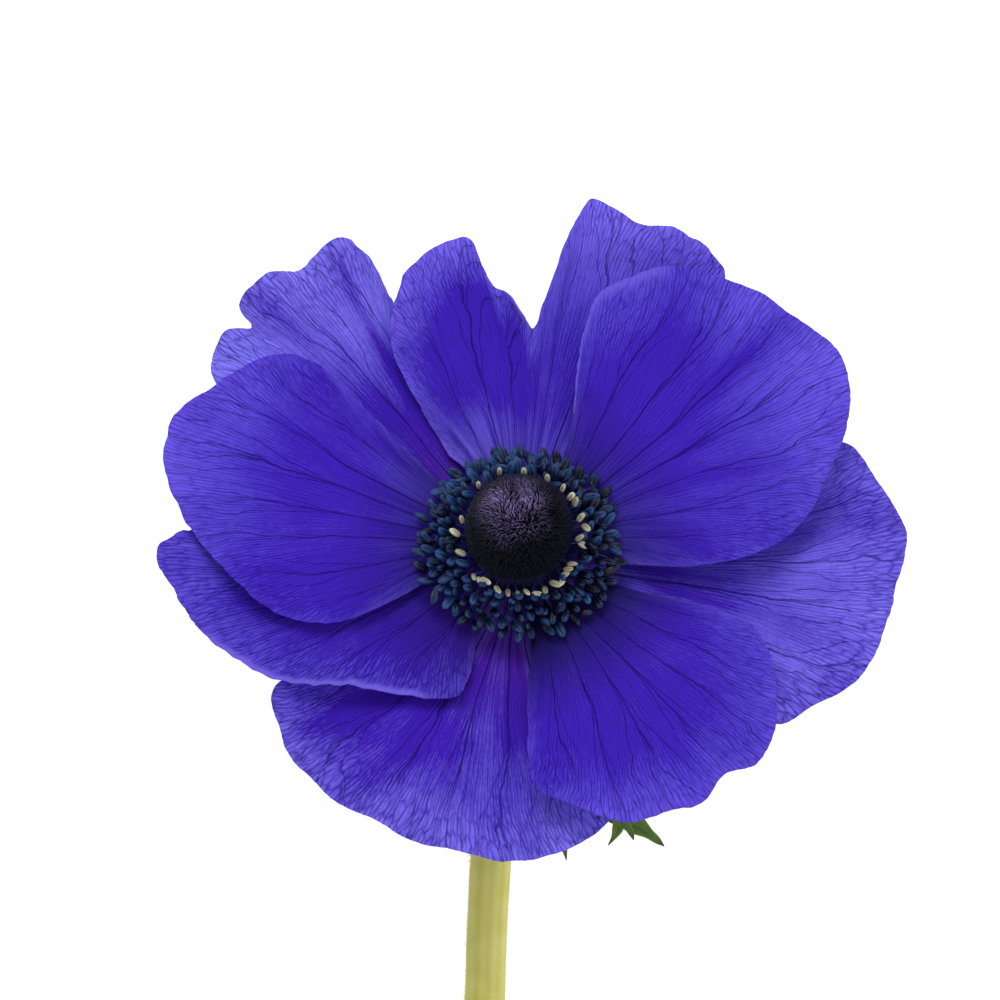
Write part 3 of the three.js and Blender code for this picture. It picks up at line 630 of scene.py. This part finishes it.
def build_tepal(name, tepal, looks, seed):
    margin, along = margin_line(tepal["margin"])
    ripple, crimp = Ripple(seed), Ripple(seed + 50)
    passed = np.cumsum(np.linalg.norm(np.diff(margin, axis=0, prepend=margin[:1]), axis=1))
    course = np.gradient(margin, axis=0)
    outwards = unit(np.stack([course[:, 1], -course[:, 0]], axis=1))
    (small, short), (wide, long) = NIBBLES
    nibble = small * ripple(passed, 0, short) + wide * crimp(passed, 0, long)
    nibble = nibble * smooth(0, 8, np.minimum(passed, passed[-1] - passed))
    margin = margin + outwards * nibble[:, None]
    at = math.radians(tepal["at"])
    middle = np.array([math.cos(at), math.sin(at)])
    side = np.array([middle[1], -middle[0]])
    root = middle * CLAW_RADIUS + side * (FINE_CLAW * (0.5 - along))[:, None]
    reach = margin - root
    out, over = reach @ middle, reach @ side
    ray = np.concatenate([[-0.05], np.linspace(0, 1, FINE_RAYS) ** 0.85])
    sweep = RAY_BOW * ray * (1 - ray) + ray * ray
    x = root[:, 0:1] + middle[0] * out[:, None] * ray + side[0] * over[:, None] * sweep
    y = root[:, 1:2] + middle[1] * out[:, None] * ray + side[1] * over[:, None] * sweep
    u, v = np.meshgrid(along, np.maximum(ray, 0), indexing="ij")
    height = tepal_height(tepal, x, y, u, v)

    # Fine form: pleats along the rays, a crimped margin, a soft unevenness and curled stretches.
    share = np.clip((np.hypot(x, y) - CLAW_RADIUS) / REACH, 0, 1.2)
    grow = FORM[tepal["layer"]] * np.minimum(1, share * 2)
    pleat = np.sin(2 * math.pi * PLEATS * u + 2.5 * ripple(u * 60, v * 8, 30))
    fine = grow * PLEAT_HEIGHT * pleat * (0.5 + 0.5 * crimp(u * 60, v * 10, 22)) * v**1.3
    fine = fine + grow * UNEVEN_HEIGHT * ripple(x, y, 13)
    fine = fine + grow * CRIMP_HEIGHT * crimp(u * 400, v * 2, 9) * v**7
    to_margin = np.hypot(x - x[:, -1:], y - y[:, -1:])
    turned = np.zeros_like(u)
    for start, end, lift, width, show in looks["curls"]:
        there = smooth(start, start + 0.05, u) * smooth(end, end - 0.05, u)
        fine = fine + lift * there * np.exp(-(to_margin / width) ** 1.5) * v
        # How much painted sheen lies on each curl.
        turned = np.maximum(turned, show * there * np.exp(-(to_margin / (0.7 * width)) ** 4))
    surface = bloom_place(x, y, height)
    surface[..., 2] += fine
    if tepal.get("sags"):
        far = np.maximum(0, np.hypot(x, y) - CLAW_RADIUS) / REACH
        surface[..., 2] -= SAG_DEPTH * np.maximum(0, far - SAG_FROM) ** 2
    # What would sink into the surface rounds off and lies on it.
    floor = SOLID_BLADE / 2
    lift = surface[..., 2] - floor
    surface[..., 2] = floor + 0.5 * (lift + np.sqrt(lift * lift + 0.16))
    normal = grid_normals(surface)
    half = 0.5 * FINE_BLADE * (0.45 + 0.55 * smooth(0, 3, to_margin))[..., None]
    points, quads = blade(surface - normal * half, surface + normal * half)

    # What the tissue's pattern follows, and where it is paler, shaded or carries painted sheen on a curl.
    squeeze = np.linalg.norm(np.gradient(surface, axis=0), axis=-1) / np.gradient(passed)[:, None]
    steps = np.linalg.norm(np.diff(surface, axis=1, prepend=surface[:, :1]), axis=-1)
    from_claw = np.cumsum(steps, axis=1)
    ends = np.minimum(np.linalg.norm(surface - surface[:1], axis=-1),
                      np.linalg.norm(surface - surface[-1:], axis=-1))
    to_edge = np.minimum(to_margin, ends + 4 * (1 - v))
    start, end, amount = looks["out"]
    # The paler margin is partly thinner tissue and partly painted sheen.
    pale = amount * smooth(start, end, v) + looks["rim"] * smooth(RIM_FADE, 0, to_edge)
    # Spots: the tissue's own blotches, painted light on ridges and near the claw, and painted shade in
    # narrow folds.
    for place, out, width, length, amount in looks["spots"]:
        pale = pale + amount * np.exp(-((u - place) / width) ** 2 - ((v - out) / length) ** 2)
    claw_sheen, claw_dark = looks["claw"]
    # Painted sheen: pale streaks along the rays near the claw.
    sheen_streaks = 0.8 + 0.5 * ripple(u * USUAL_GIRTH, v, 2.6)
    pale = pale + claw_sheen * smooth(*SHEEN_CLAW, from_claw) * sheen_streaks
    girth = np.broadcast_to(passed[:, None], u.shape)
    layers = {
        "across": girth / passed[-1], "girth": girth, "ray": v, "along": from_claw,
        "squeeze": np.maximum(squeeze, 0.02), "edge": to_edge, "pale": pale,
        "shade": claw_dark * smooth(*SHADED_CLAW, from_claw), "fold": turned,
    }
    layers = {key: np.tile(value.ravel(), 2) for key, value in layers.items()}
    settle("tepal", name, name + "_tissue", points, quads, TISSUE[tepal["layer"]], layers)


for number, (name, tepal) in enumerate(TEPALS.items()):
    build_tepal(name, tepal, LOOKS[name], 20 + number)

# ---- stamens

# Rows of dark stamens from the inside out: how many, and their anthers' radius and height.
DARK_ROWS = ((37, 7.8, 4.2), (42, 8.6, 3.8), (44, 9.4, 3.3), (45, 10.3, 2.8), (44, 11.1, 2.2))
DARK_ANTHER = (2.05, 1.1, 0.8)  # length, width and depth
PALE_ANTHER = (1.3, 0.72, 0.6)
# Groups of pale stamens round the dome: bearing in degrees, and how many stand together.
PALE_GROUPS = ((108, 1), (86, 1), (64, 1), (45, 1), (32, 2), (11, 2), (-5, 2), (-33, 2), (-42, 1),
               (-52, 2), (-66, 1), (-73, 1), (-87, 2), (-99, 1), (-111, 1), (-123, 1), (-131, 2),
               (-165, 1), (178, 1), (167, 1), (128, 1))
PALE_RADIUS = 6.95
PALE_HEIGHT = 4.3
FILAMENT_STEPS = 8
FILAMENT_SIDES = 6
FILAMENT_RADII = (0.14, 0.09)  # at the foot and at the anther
ANTHER_SEAM = 0.22  # half width, as a share of the anther's
# How irregularly dark stamens stand: in bearing (share of a step), mm and radians.
SCATTER = {"bearing": 0.3, "radius": 0.28, "height": 0.25, "yaw": 0.45, "pitch": 0.25, "roll": 0.45}


def anther_form(rounds=16, rings=11):
    """Two plump lobes that taper to both ends, with a seam between them, one unit each way."""
    end = np.linspace(0, 1, rings)[:, None]
    swell = np.maximum((1 - np.abs(2 * end - 1) ** 2.5) ** 0.6, 0.07)
    turn = 2 * math.pi * np.arange(rounds) / rounds
    seam = np.exp(-(np.cos(turn) / ANTHER_SEAM) ** 2)
    x = end - 0.5 + 0.09 * (np.abs(np.cos(turn)) - 0.6) * smooth(0.7, 1, end)
    y = 0.5 * swell * np.cos(turn) * (1.06 - 0.16 * end)
    z = 0.5 * swell * np.sin(turn) * (1 - 0.35 * seam)
    form = np.stack(np.broadcast_arrays(x, y, z), axis=-1)
    walls = ring_walls(rings, rounds)
    mark = np.tile(seam, (rings, 1)) * smooth(0, 0.15, end) * smooth(1, 0.8, end)
    return form.reshape(-1, 3), [walls, ring_ends(rings, rounds)], mark.ravel()


def stamen_ring(name, slot, places, anther, collar, skin, seed):
    """places holds bearing, radius, height, turn from outward, pitch and roll of every anther."""
    draw = np.random.default_rng(seed)
    turn, radius, height, yaw, pitch, roll = places.T
    count = len(turn)
    outward = bloom_aim(np.cos(turn), np.sin(turn), 0)
    sideways = bloom_aim(-np.sin(turn), np.cos(turn), 0)
    upward = np.broadcast_to(bloom_aim(0, 0, 1), outward.shape)
    long = unit(outward * (np.cos(yaw) * np.cos(pitch))[:, None]
                + sideways * (np.sin(yaw) * np.cos(pitch))[:, None]
                + upward * np.sin(pitch)[:, None])
    across = unit(np.cross(upward, long) + 0.001 * sideways)
    deep = np.cross(long, across)
    wide = across * np.cos(roll)[:, None] + deep * np.sin(roll)[:, None]
    deep = np.cross(long, wide)
    size = draw.uniform(0.78, 1.14, (count, 1)) * np.array(anther)
    centre = bloom_ring(turn, radius, height)
    frames = np.stack([long * size[:, 0:1], wide * size[:, 1:2], deep * size[:, 2:3]], axis=1)
    form, walls, seam = anther_form()
    points, faces = copies(form, walls, frames, centre)
    # Most are dark and a few pale, at random. Each is paler to its tip, a painted highlight, and paler
    # towards the bloom's upper left and darker to its right: painted light and shade.
    tone = draw.uniform(0.0, 0.85, (count, 1)) ** 1.8 + 0.4 * smooth(-0.1, 0.5, form[:, 0])
    lit_upper_left = smooth(-0.2, 1, np.sin(turn)) * smooth(0.6, -0.4, np.cos(turn))
    tone = tone + 0.28 * lit_upper_left[:, None] - 0.1
    tone = tone - 0.1 * smooth(0.2, 1, np.cos(turn))[:, None]
    layers = {"tone": tone.ravel(), "mark": np.tile(seam * 0.55, count)}
    settle(slot, name, name + "_anthers", points, faces, skin, layers)

    # Filaments leave the collar upwards and bend out to their anthers.
    foot_turn = turn + draw.uniform(-0.12, 0.12, count)
    foot_radius = collar["radius"] - draw.uniform(0.5, 1.2, count)
    foot = bloom_ring(foot_turn, foot_radius, (collar["bottom"] + collar["top"]) / 2)
    end = centre - long * (0.38 * size[:, 0:1])
    reach = np.linalg.norm(end - foot, axis=1)[:, None]
    bend = foot + upward * 0.45 * reach + outward * 0.35 * reach
    share = np.linspace(0, 1, FILAMENT_STEPS)[None, :, None]
    paths = ((1 - share) ** 2 * foot[:, None] + 2 * share * (1 - share) * bend[:, None]
             + share**2 * end[:, None])
    radii = np.broadcast_to(np.linspace(*FILAMENT_RADII, FILAMENT_STEPS), (count, FILAMENT_STEPS))
    threads = tubes(paths, radii, FILAMENT_SIDES)
    profile = [(collar["bottom"], 0.01), (collar["bottom"], collar["radius"] - 0.5),
               (collar["bottom"] + 0.3, collar["radius"] - 0.1),
               (collar["top"] - 0.4, collar["radius"] - 0.05),
               (collar["top"] - 0.1, collar["radius"] - 0.35), (collar["top"], 0.01)]
    points, faces = merge([threads, turned_form(profile, 48)])
    layers = plain_layers(points, 0.3)
    each = FILAMENT_STEPS * FILAMENT_SIDES
    layers["tone"][:count * each] = np.repeat(draw.uniform(0.2, 0.9, count), each)
    settle(slot, name, name + "_filaments", points, faces, FILAMENT, layers)


def turned_form(profile, sides):
    """A round form about the bloom's axis, from heights and radii listed upwards."""
    angle = 2 * math.pi * np.arange(sides) / sides
    rings = [bloom_ring(angle, radius, height) for height, radius in profile]
    return np.concatenate(rings), [ring_walls(len(rings), sides), ring_ends(len(rings), sides)]


def dark_places():
    """Rows of anthers that stand steep inside and lie flatter outside."""
    draw = np.random.default_rng(3)
    places = []
    for row, (count, radius, height) in enumerate(DARK_ROWS):
        jitter = draw.uniform(-SCATTER["bearing"], SCATTER["bearing"], count)
        turn = (np.arange(count) + 0.5 * (row % 2) + jitter) / count
        spread = draw.normal(0, 1, (5, count))
        tilt = 0.75 - 0.17 * row + SCATTER["pitch"] * spread[3]
        places.append(np.stack([
            turn * 2 * math.pi, radius + SCATTER["radius"] * spread[0],
            height + SCATTER["height"] * spread[1], SCATTER["yaw"] * spread[2], tilt,
            SCATTER["roll"] * spread[4],
        ], axis=1))
    return np.concatenate(places)


def pale_places():
    """Small groups close to the dome, raised and turned outwards at its upper side."""
    draw = np.random.default_rng(8)
    places = []
    for bearing, count in PALE_GROUPS:
        for member in range(count):
            offset = (member - (count - 1) / 2) * 6.5
            turn = math.radians(bearing + offset + draw.uniform(-1.5, 1.5))
            upper = smooth(-0.3, 0.7, math.sin(turn))
            yaw = draw.choice([-1, 1]) * draw.uniform(0.2, 1.7) * (1 - 0.6 * upper)
            radius = PALE_RADIUS + 0.15 * math.cos(turn) + 0.15 * upper + draw.uniform(-0.35, 0.45)
            places.append((turn, radius, PALE_HEIGHT + 1.8 * upper + draw.uniform(-0.4, 0.4),
                           yaw, 0.15 + 0.9 * upper + draw.uniform(-0.15, 0.15), draw.uniform(-0.5, 0.5)))
    return np.array(places)


stamen_ring("stamens_dark", "stamen_dark", dark_places(), DARK_ANTHER, DARK_COLLAR, ANTHER_DARK, 31)
stamen_ring("stamens_pale", "stamen_pale", pale_places(), PALE_ANTHER, PALE_COLLAR, ANTHER_PALE, 32)

# ---- dome of carpels

STYLES = 9000  # more and finer than a render shows one by one
STYLE_LENGTH = 0.85
STYLE_RADIUS = 0.05
STYLE_TAPER = np.array([1.0, 1.05, 0.95, 0.45])
STYLE_SIDES = 3
STYLE_SINK = 0.15  # how deep a style is rooted
LIT_AT = (-0.5, 0.3)  # middle of the crown's lit drift, from the dome's axis, mm
LIT_RADII = (4.7, 0.7)  # where the drift ends and is full
COMB_TOWARDS = math.radians(110)  # the bearing to which the crown's styles are combed
BED_RINGS = 40
BED_SIDES = 64
DOME_DOWN_TO = math.radians(118)  # from the top, where the styles end


def dome_profile(slope, lift=0.0):
    """Height and radius of the dome by its angle from the top."""
    reach = np.where(slope < math.pi / 2, DOME["top"] - DOME["middle"], DOME["middle"] - DOME["bottom"])
    return DOME["middle"] + (reach + lift) * np.cos(slope), (DOME["radius"] + lift) * np.sin(slope)


def dome_point(slope, turn, lift=0.0):
    height, radius = dome_profile(slope, lift)
    return bloom_ring(turn, radius, height)


def build_dome():
    """The bed of carpels with its coat of styles."""
    draw = np.random.default_rng(17)
    profile = zip(*dome_profile(np.linspace(math.radians(178), math.radians(2), BED_RINGS)))
    points, faces = turned_form(profile, BED_SIDES)
    settle("carpel", "dome", "dome_bed", points, faces, CARPEL_BED, plain_layers(points, 0.3))

    # Styles stand in the spirals of a seed head and are combed outwards from the top.
    number = np.arange(STYLES) + 0.5
    slope = np.arccos(1 - number / STYLES * (1 - math.cos(DOME_DOWN_TO)))
    turn = number * math.pi * (3 - math.sqrt(5)) + draw.normal(0, 0.03, STYLES)
    slope = slope + draw.normal(0, 0.02, STYLES)
    root = dome_point(slope, turn, -STYLE_SINK)
    normal = unit(dome_point(slope, turn, 1.0) - dome_point(slope, turn, 0.0))
    down = unit(dome_point(slope + 0.01, turn) - dome_point(slope, turn))
    around = np.cross(normal, down)
    lean = draw.normal(0, 0.2, (STYLES, 1))
    length = STYLE_LENGTH * draw.uniform(0.75, 1.15, (STYLES, 1))
    swirl = 0.5 * Ripple(61)(root[:, 0], root[:, 1], 5.0)[:, None]
    top = smooth(math.radians(50), 0, slope)[:, None]
    lie = COMB_TOWARDS + 2.6 * swirl[:, 0]
    combed = bloom_aim(np.cos(lie), np.sin(lie), 0)
    first = unit(normal * (1.0 + 0.4 * top) + down * (0.55 - 0.5 * top) + combed * 0.4 * top
                 + around * (lean + 0.5 * swirl))
    last = unit(normal * (0.45 + 0.3 * top + 0.3 * draw.random((STYLES, 1))) + down * (1 - 0.9 * top)
                + combed * (0.4 + 0.7 * top) + around * (2.2 * lean + swirl))
    share = np.array([0, 0.4, 0.75, 1.0])
    paths = np.stack([root + first * length * s * (1 - 0.5 * s) + last * length * 0.5 * s * s
                      for s in share], axis=1)
    thick = STYLE_RADIUS * draw.uniform(0.8, 1.15, (STYLES, 1))
    points, faces = tubes(paths, thick * STYLE_TAPER, STYLE_SIDES)
    # Painted light: the threads are painted violet-grey where light falls on the crown, in drifts, and paler
    # to their tips.
    drifts = 0.5 + 0.5 * Ripple(62)(root[:, 0], root[:, 1], 3.5)
    wide = DOME["radius"] * np.sin(slope)
    away = np.hypot(wide * np.cos(turn) - LIT_AT[0], wide * np.sin(turn) - LIT_AT[1])
    lit = 0.02 + 0.98 * smooth(*LIT_RADII, away) * (0.2 + 0.8 * drifts)
    lit = lit * draw.uniform(0.15, 1.15, STYLES)
    tone = (lit[:, None] * np.array([0.0, 0.5, 1.0, 1.0])).repeat(STYLE_SIDES, axis=1)
    layers = {"tone": tone, "mark": np.zeros(len(points))}
    settle("carpel", "dome", "dome_styles", points, faces, STYLE, layers)


build_dome()

# ---- stem

STEM_RINGS = 240
BEND_RINGS = 60
STEM_ROUNDS = 48
STEM_RIBS = 11
RIB_HEIGHT = 0.025
SKIN_UNEVEN = 0.05
RIB_ROOM = 0.04  # by which the skin is slimmer than the solid
NECK_WIDENS = 14  # over this length the neck widens to the stem
# The swollen receptacle above the neck: heights along the bloom's axis, and radii.
RECEPTACLE = ((0.95, 0.02), (0.9, 3.3), (0.6, 4.2), (0.0, 4.5), (-1.2, 4.55), (-2.4, 4.5),
              (-3.0, 4.1), (-3.5, 3.4), (-4.0, 2.75))
# The cut end, a green rim round a paler pith that has dried back: shares of the radius, and depths.
CUT_END = ((0.93, 0.0), (0.82, -0.15), (0.5, -0.4), (0.01, -0.45))


def stem_sway(y):
    """How far the stem lies off the middle line at y."""
    behind = np.maximum(0, -y - SWAY["from"])
    bowed = np.sin(np.minimum(behind, SWAY["length"]) / SWAY["length"] * math.pi)
    return SWAY["bow"] * bowed ** SWAY["fullness"] + SWAY["drift"] * behind


def stem_line():
    """Centres from the neck down the bend and along the surface, with directions along it."""
    neck = bloom_place(0, 0, NECK_START)
    turn = math.pi / 2 - BLOOM_LEAN
    bend = (neck[2] - FLOOR_TO_CORE) / (1 - math.cos(turn))
    left = turn * (1 - np.linspace(0, 1, BEND_RINGS))
    y = neck[1] - bend * (math.sin(turn) - np.sin(left))
    z = FLOOR_TO_CORE + bend * (1 - np.cos(left))
    lying = np.linspace(y[-1], -STEM_LENGTH, STEM_RINGS - BEND_RINGS + 1)[1:]
    y = np.concatenate([y, lying])
    z = np.concatenate([z, np.full(len(lying), FLOOR_TO_CORE)])
    centres = np.stack([stem_sway(y), y, z], axis=1)
    return centres, unit(np.gradient(centres, axis=0))


def build_stem():
    """Receptacle, neck, ribbed stem and cut end in one skin. Returns the lines the down grows by."""
    ripple = Ripple(5)
    centres, along = stem_line()
    passed = np.concatenate([[0], np.cumsum(np.linalg.norm(np.diff(centres, axis=0), axis=1))])
    side = unit(np.array([1.0, 0, 0]) - along * along[:, 0:1])
    up = np.cross(side, along)
    angle = 2 * math.pi * np.arange(STEM_ROUNDS) / STEM_ROUNDS
    radius = NECK_RADIUS + (STEM_RADIUS - RIB_ROOM - NECK_RADIUS) * smooth(0, NECK_WIDENS, passed)
    ribs = RIB_HEIGHT * np.cos(STEM_RIBS * angle[None, :] + 0.6 * ripple(passed[:, None], 0, 50))
    uneven = SKIN_UNEVEN * ripple(passed[:, None], 3 * np.cos(angle)[None, :], 12)
    round_radius = radius[:, None] + ribs + uneven
    rings = centres[:, None] + (side[:, None] * np.cos(angle)[:, None]
                                + up[:, None] * np.sin(angle)[:, None]) * round_radius[..., None]
    rings[..., 2] = np.maximum(rings[..., 2], 0.0)
    cap = [bloom_ring(-angle, radius, height) for height, radius in RECEPTACLE]
    last = rings[-1] - centres[-1]
    ends = [centres[-1] + last * share + along[-1] * depth for share, depth in CUT_END]
    stack = np.concatenate([np.stack(cap), rings, np.stack(ends)])
    count = len(stack)
    first = count - len(rings) - len(ends)
    faces = [ring_walls(count, STEM_ROUNDS), ring_ends(count, STEM_ROUNDS)]
    tone = np.full((count, STEM_ROUNDS), 0.45)
    # The rib crests are paler. Painted light: paler on the stem's right side, darker on its left.
    tone[first:first + len(rings)] += 0.15 * ribs / RIB_HEIGHT + 0.1 * np.cos(angle)
    tone[1 - len(ends):] = 1.0
    mark = np.zeros((count, STEM_ROUNDS))
    mark[-len(ends)] = 0.8
    layers = {"tone": tone, "mark": mark}
    settle("stem", "stem", "stem_skin", stack.reshape(-1, 3), faces, STEM_SKIN, layers, soft=40)
    return centres, along, side, up


HAIRS = 1200
HAIR_RADII = np.array([0.022, 0.018, 0.013, 0.006])  # coarser than real down, so that it shows


def build_down(centres, along, side, up):
    """Silky hairs on the stem, thickest near the bracts and the bloom."""
    draw = np.random.default_rng(41)
    place = (draw.beta(1.0, 2.2, HAIRS) * (len(centres) - 8)).astype(int) + 2
    angle = draw.uniform(-0.25, math.pi + 0.25, HAIRS)
    out = side[place] * np.cos(angle)[:, None] + up[place] * np.sin(angle)[:, None]
    out[:, 2] = np.where(centres[place][:, 2] < 3, np.maximum(out[:, 2], 0.05), out[:, 2])
    out = unit(out)
    root = centres[place] + out * (NECK_RADIUS - 0.1)
    length = draw.uniform(0.3, 0.7, (HAIRS, 1))
    lean = along[place] * draw.normal(-0.1, 0.35, (HAIRS, 1)) + draw.normal(0, 0.15, (HAIRS, 3))
    share = np.linspace(0, 1, len(HAIR_RADII))
    paths = np.stack([root + out * length * s + lean * length * s * s for s in share], axis=1)
    paths[..., 2] = np.maximum(paths[..., 2], 0.05)
    points, faces = tubes(paths, np.broadcast_to(HAIR_RADII, paths.shape[:2]), 3)
    settle("stem", "stem", "stem_down", points, faces, DOWN, plain_layers(points, 0.5))


build_down(*build_stem())

# ---- bracts

# Every lobe is bend, tip and half width, offsets from the whorl's centre on the stem.
BRACTS = {
    "bract_right": {
        "base": (2.9, -0.6, 0.3),
        "lobes": [((14, -5.5, 4), (19, -9.9, 5.5), 1.6), ((17.5, -4, 3.5), (12.6, -9.8, 5), 1.35),
                  ((14.5, -5, 4), (15.5, -9.2, 5), 1.2), ((6.5, -3.5, 2.5), (7.8, -11.5, 5), 1.5),
                  ((10, -0.5, 4), (19, -1.5, 6.5), 1.8), ((8, 1.5, 4), (15, 4, 7), 1.6)],
    },
    "bract_left": {
        "base": (-2.9, 0.2, 0.3),
        "lobes": [((-13, 0.5, 4), (-22, 0.5, 5.5), 1.9), ((-12, -2, 4), (-19, -4.5, 5), 1.7),
                  ((-8, -3.5, 3), (-12, -7, 4.5), 1.5), ((-12, 3, 4), (-19, 5.5, 6), 1.7),
                  ((-8, 4, 4), (-12.5, 8.5, 6.5), 1.5)],
    },
    "bract_upper": {
        "base": (0.3, 0.1, 3.1),
        "lobes": [((2, -4, 9), (4, -9.5, 14), 1.8), ((-1, -3, 9), (-4, -7.5, 13), 1.6),
                  ((4, -2.5, 8), (9.5, -5.5, 12.5), 1.6)],
    },
}
BRACT_BLADE = 0.4
BLUNT_TEETH = 34  # how fast a lobe's edge wavers, in radians over its length
LEAF_COLUMNS = 34  # points along a lobe
LEAF_ROWS = 11  # points across it
TOOTH_AT = 0.4  # share of a lobe's length where its side teeth leave
TOOTH_TURN = 0.6  # radians to each side
TOOTH_LENGTH = 0.17  # share of the lobe's length
TOOTH_WIDTH = 0.6  # share of the lobe's width


def leaf_blade(root, bend, tip, half_width, flat, seed):
    """A narrow pointed blade along a bent line, with a midrib furrow and a few blunt teeth."""
    ripple = Ripple(seed)
    t = np.linspace(0, 1, LEAF_COLUMNS)[:, None]
    line = (1 - t) ** 2 * root + 2 * t * (1 - t) * bend + t * t * tip
    along = unit(2 * (1 - t) * (bend - root) + 2 * t * (tip - bend))
    across = unit(np.cross(flat, along))
    up = np.cross(along, across)
    width = half_width * np.sin(math.pi * np.clip(t, 0.02, 1) ** 0.85) ** 0.75 * (1 - 0.2 * t)
    width = np.maximum(width * (1 + 0.12 * np.sin(BLUNT_TEETH * t + seed)), 0.06)
    w = np.linspace(-1, 1, LEAF_ROWS)
    side = across[:, None] * (w[:, None] * width[:, None])
    cup = 0.22 * half_width * (np.abs(w) ** 1.3 - 0.5) + 0.14 * ripple(t * 10, w * 2, 5)
    furrow = -0.12 * np.exp(-(w / 0.14) ** 2)
    surface = line[:, None] + side + up[:, None] * (cup + furrow)[..., None] * (width / half_width)[:, None]
    normal = np.broadcast_to(up[:, None], surface.shape)
    thin = (0.5 * BRACT_BLADE * (1 - 0.5 * np.abs(w) ** 3))[:, None]
    points, quads = blade(surface + normal * thin, surface - normal * thin)
    vein = np.exp(-(w / 0.12) ** 2) * 0.6
    tone = np.clip(0.35 + 0.4 * vein + 0.25 * np.abs(w) ** 2, 0, 1)
    tip_dry = smooth(0.9, 1.0, t)
    return points, [quads], [np.tile(np.broadcast_to(layer, surface.shape[:2]).ravel(), 2)
                             for layer in (tone, tip_dry)]


def build_bract(name, bract, whorl, seed):
    """A bract cut into lobes with two teeth each. One on top of the stem stands, the others lie."""
    base = whorl + np.array(bract["base"])
    flat = unit(np.array([0, 1, 0.4])) if bract["base"][2] > 1 else np.array([0, 0, 1.0])
    parts, lobe_layers = [], []
    for bend, tip, half_width in bract["lobes"]:
        bend, tip = whorl + np.array(bend), whorl + np.array(tip)
        t = TOOTH_AT
        fork = (1 - t) ** 2 * base + 2 * t * (1 - t) * bend + t * t * tip
        aim = unit(2 * (1 - t) * (bend - base) + 2 * t * (tip - bend))
        reach = TOOTH_LENGTH * (np.linalg.norm(bend - base) + np.linalg.norm(tip - bend))
        blades = [(base, bend, tip, half_width)]
        for hand in (-1, 1):
            turn = hand * TOOTH_TURN
            swung = aim * math.cos(turn) + np.cross(flat, aim) * math.sin(turn)
            blades.append((fork, fork + swung * reach / 2, fork + swung * reach, half_width * TOOTH_WIDTH))
        for outline in blades:
            seed += 1
            points, faces, layers = leaf_blade(*outline, flat, seed)
            parts.append((points, faces))
            lobe_layers.append(layers)
    points, faces = merge(parts)
    points[:, 2] = np.maximum(points[:, 2], 0.02)
    layers = dict(zip(("tone", "mark"), np.concatenate(lobe_layers, axis=1)))
    settle("bract", name, name + "_leaf", points, faces, BRACT_SKIN, layers)


WHORL = np.array([float(stem_sway(np.array(-WHORL_BEHIND))), -WHORL_BEHIND, STEM_RADIUS])
for number, (name, bract) in enumerate(BRACTS.items()):
    build_bract(name, bract, WHORL, 100 * number)

# ---- floor, light and camera

VIEW_FROM = 629.6  # camera above the level it is aimed at, mm
VIEW_LEVEL = 15.0
VIEW_CENTRE = (-2.15, 5.78)  # from the bloom's centre, mm
LENS = 200.0
SENSOR = 36.0
FLOOR_REACH = 1500
WORLD_GLOW = 0.66
FLOOR_GLOW = 0.86  # lifts the pale floor to near white
# Lamps: place, size and power. Both face LIT_POINT.
LAMPS = {"key": ((-60, 330, 380), 260, 1.1), "fill": ((260, -200, 300), 300, 0.6)}
LIT_POINT = (0, 0, 10)


def build_floor():
    points = [(x * FLOOR_REACH, y * FLOOR_REACH, 0) for x, y in ((-1, -1), (1, -1), (1, 1), (-1, 1))]
    material, tree = new_material("studio_floor")
    place = add(tree, "TexCoord").outputs["Object"]
    cloud = add(tree, "TexNoise", Vector=place, Scale=8.0, Detail=2.0)
    glow = add(tree, "MixRGB", cloud, srgb("#f8f8f9"), srgb("#fdfdfc"))
    colour = add(tree, "MixRGB", cloud, srgb("#a8a8aa"), srgb("#acacac"))
    set_surface(tree, Roughness=0.9, Base_Color=colour, Emission_Color=glow, Emission_Strength=FLOOR_GLOW)
    floor = mesh_object("floor", points, np.array([(0, 1, 2, 3)]), material)


def build_lamp(name, place, size, power):
    lamp = bpy.data.lights.new(name, "AREA")
    lamp.shape = "DISK"
    lamp.size = size * MM
    lamp.energy = power
    piece = bpy.data.objects.new(name, lamp)
    place, target = Vector(to_row(place)), Vector(to_row(LIT_POINT))
    piece.location = place
    piece.rotation_euler = (target - place).to_track_quat("-Z", "Y").to_euler()
    bpy.context.scene.collection.objects.link(piece)


def build_world():
    world = bpy.data.worlds.new("studio")
    bpy.context.scene.world = world
    world.use_nodes = True
    tree = world.node_tree
    tree.nodes.clear()
    back = add(tree, "Background", Color=srgb("#f7f8fb"), Strength=WORLD_GLOW)
    add(tree, "OutputWorld", Surface=back)


def build_camera():
    """Straight above, looking down."""
    data = bpy.data.cameras.new("camera")
    data.lens = LENS
    data.sensor_width = SENSOR
    data.sensor_fit = "HORIZONTAL"
    data.clip_start, data.clip_end = 0.01, 10
    piece = bpy.data.objects.new("camera", data)
    piece.location = to_row((VIEW_CENTRE[0], VIEW_CENTRE[1], VIEW_LEVEL + VIEW_FROM))
    bpy.context.scene.collection.objects.link(piece)
    bpy.context.scene.camera = piece


build_floor()
build_world()
for name, lamp in LAMPS.items():
    build_lamp(name, *lamp)
build_camera()
bpy.context.scene.view_settings.view_transform = "Standard"
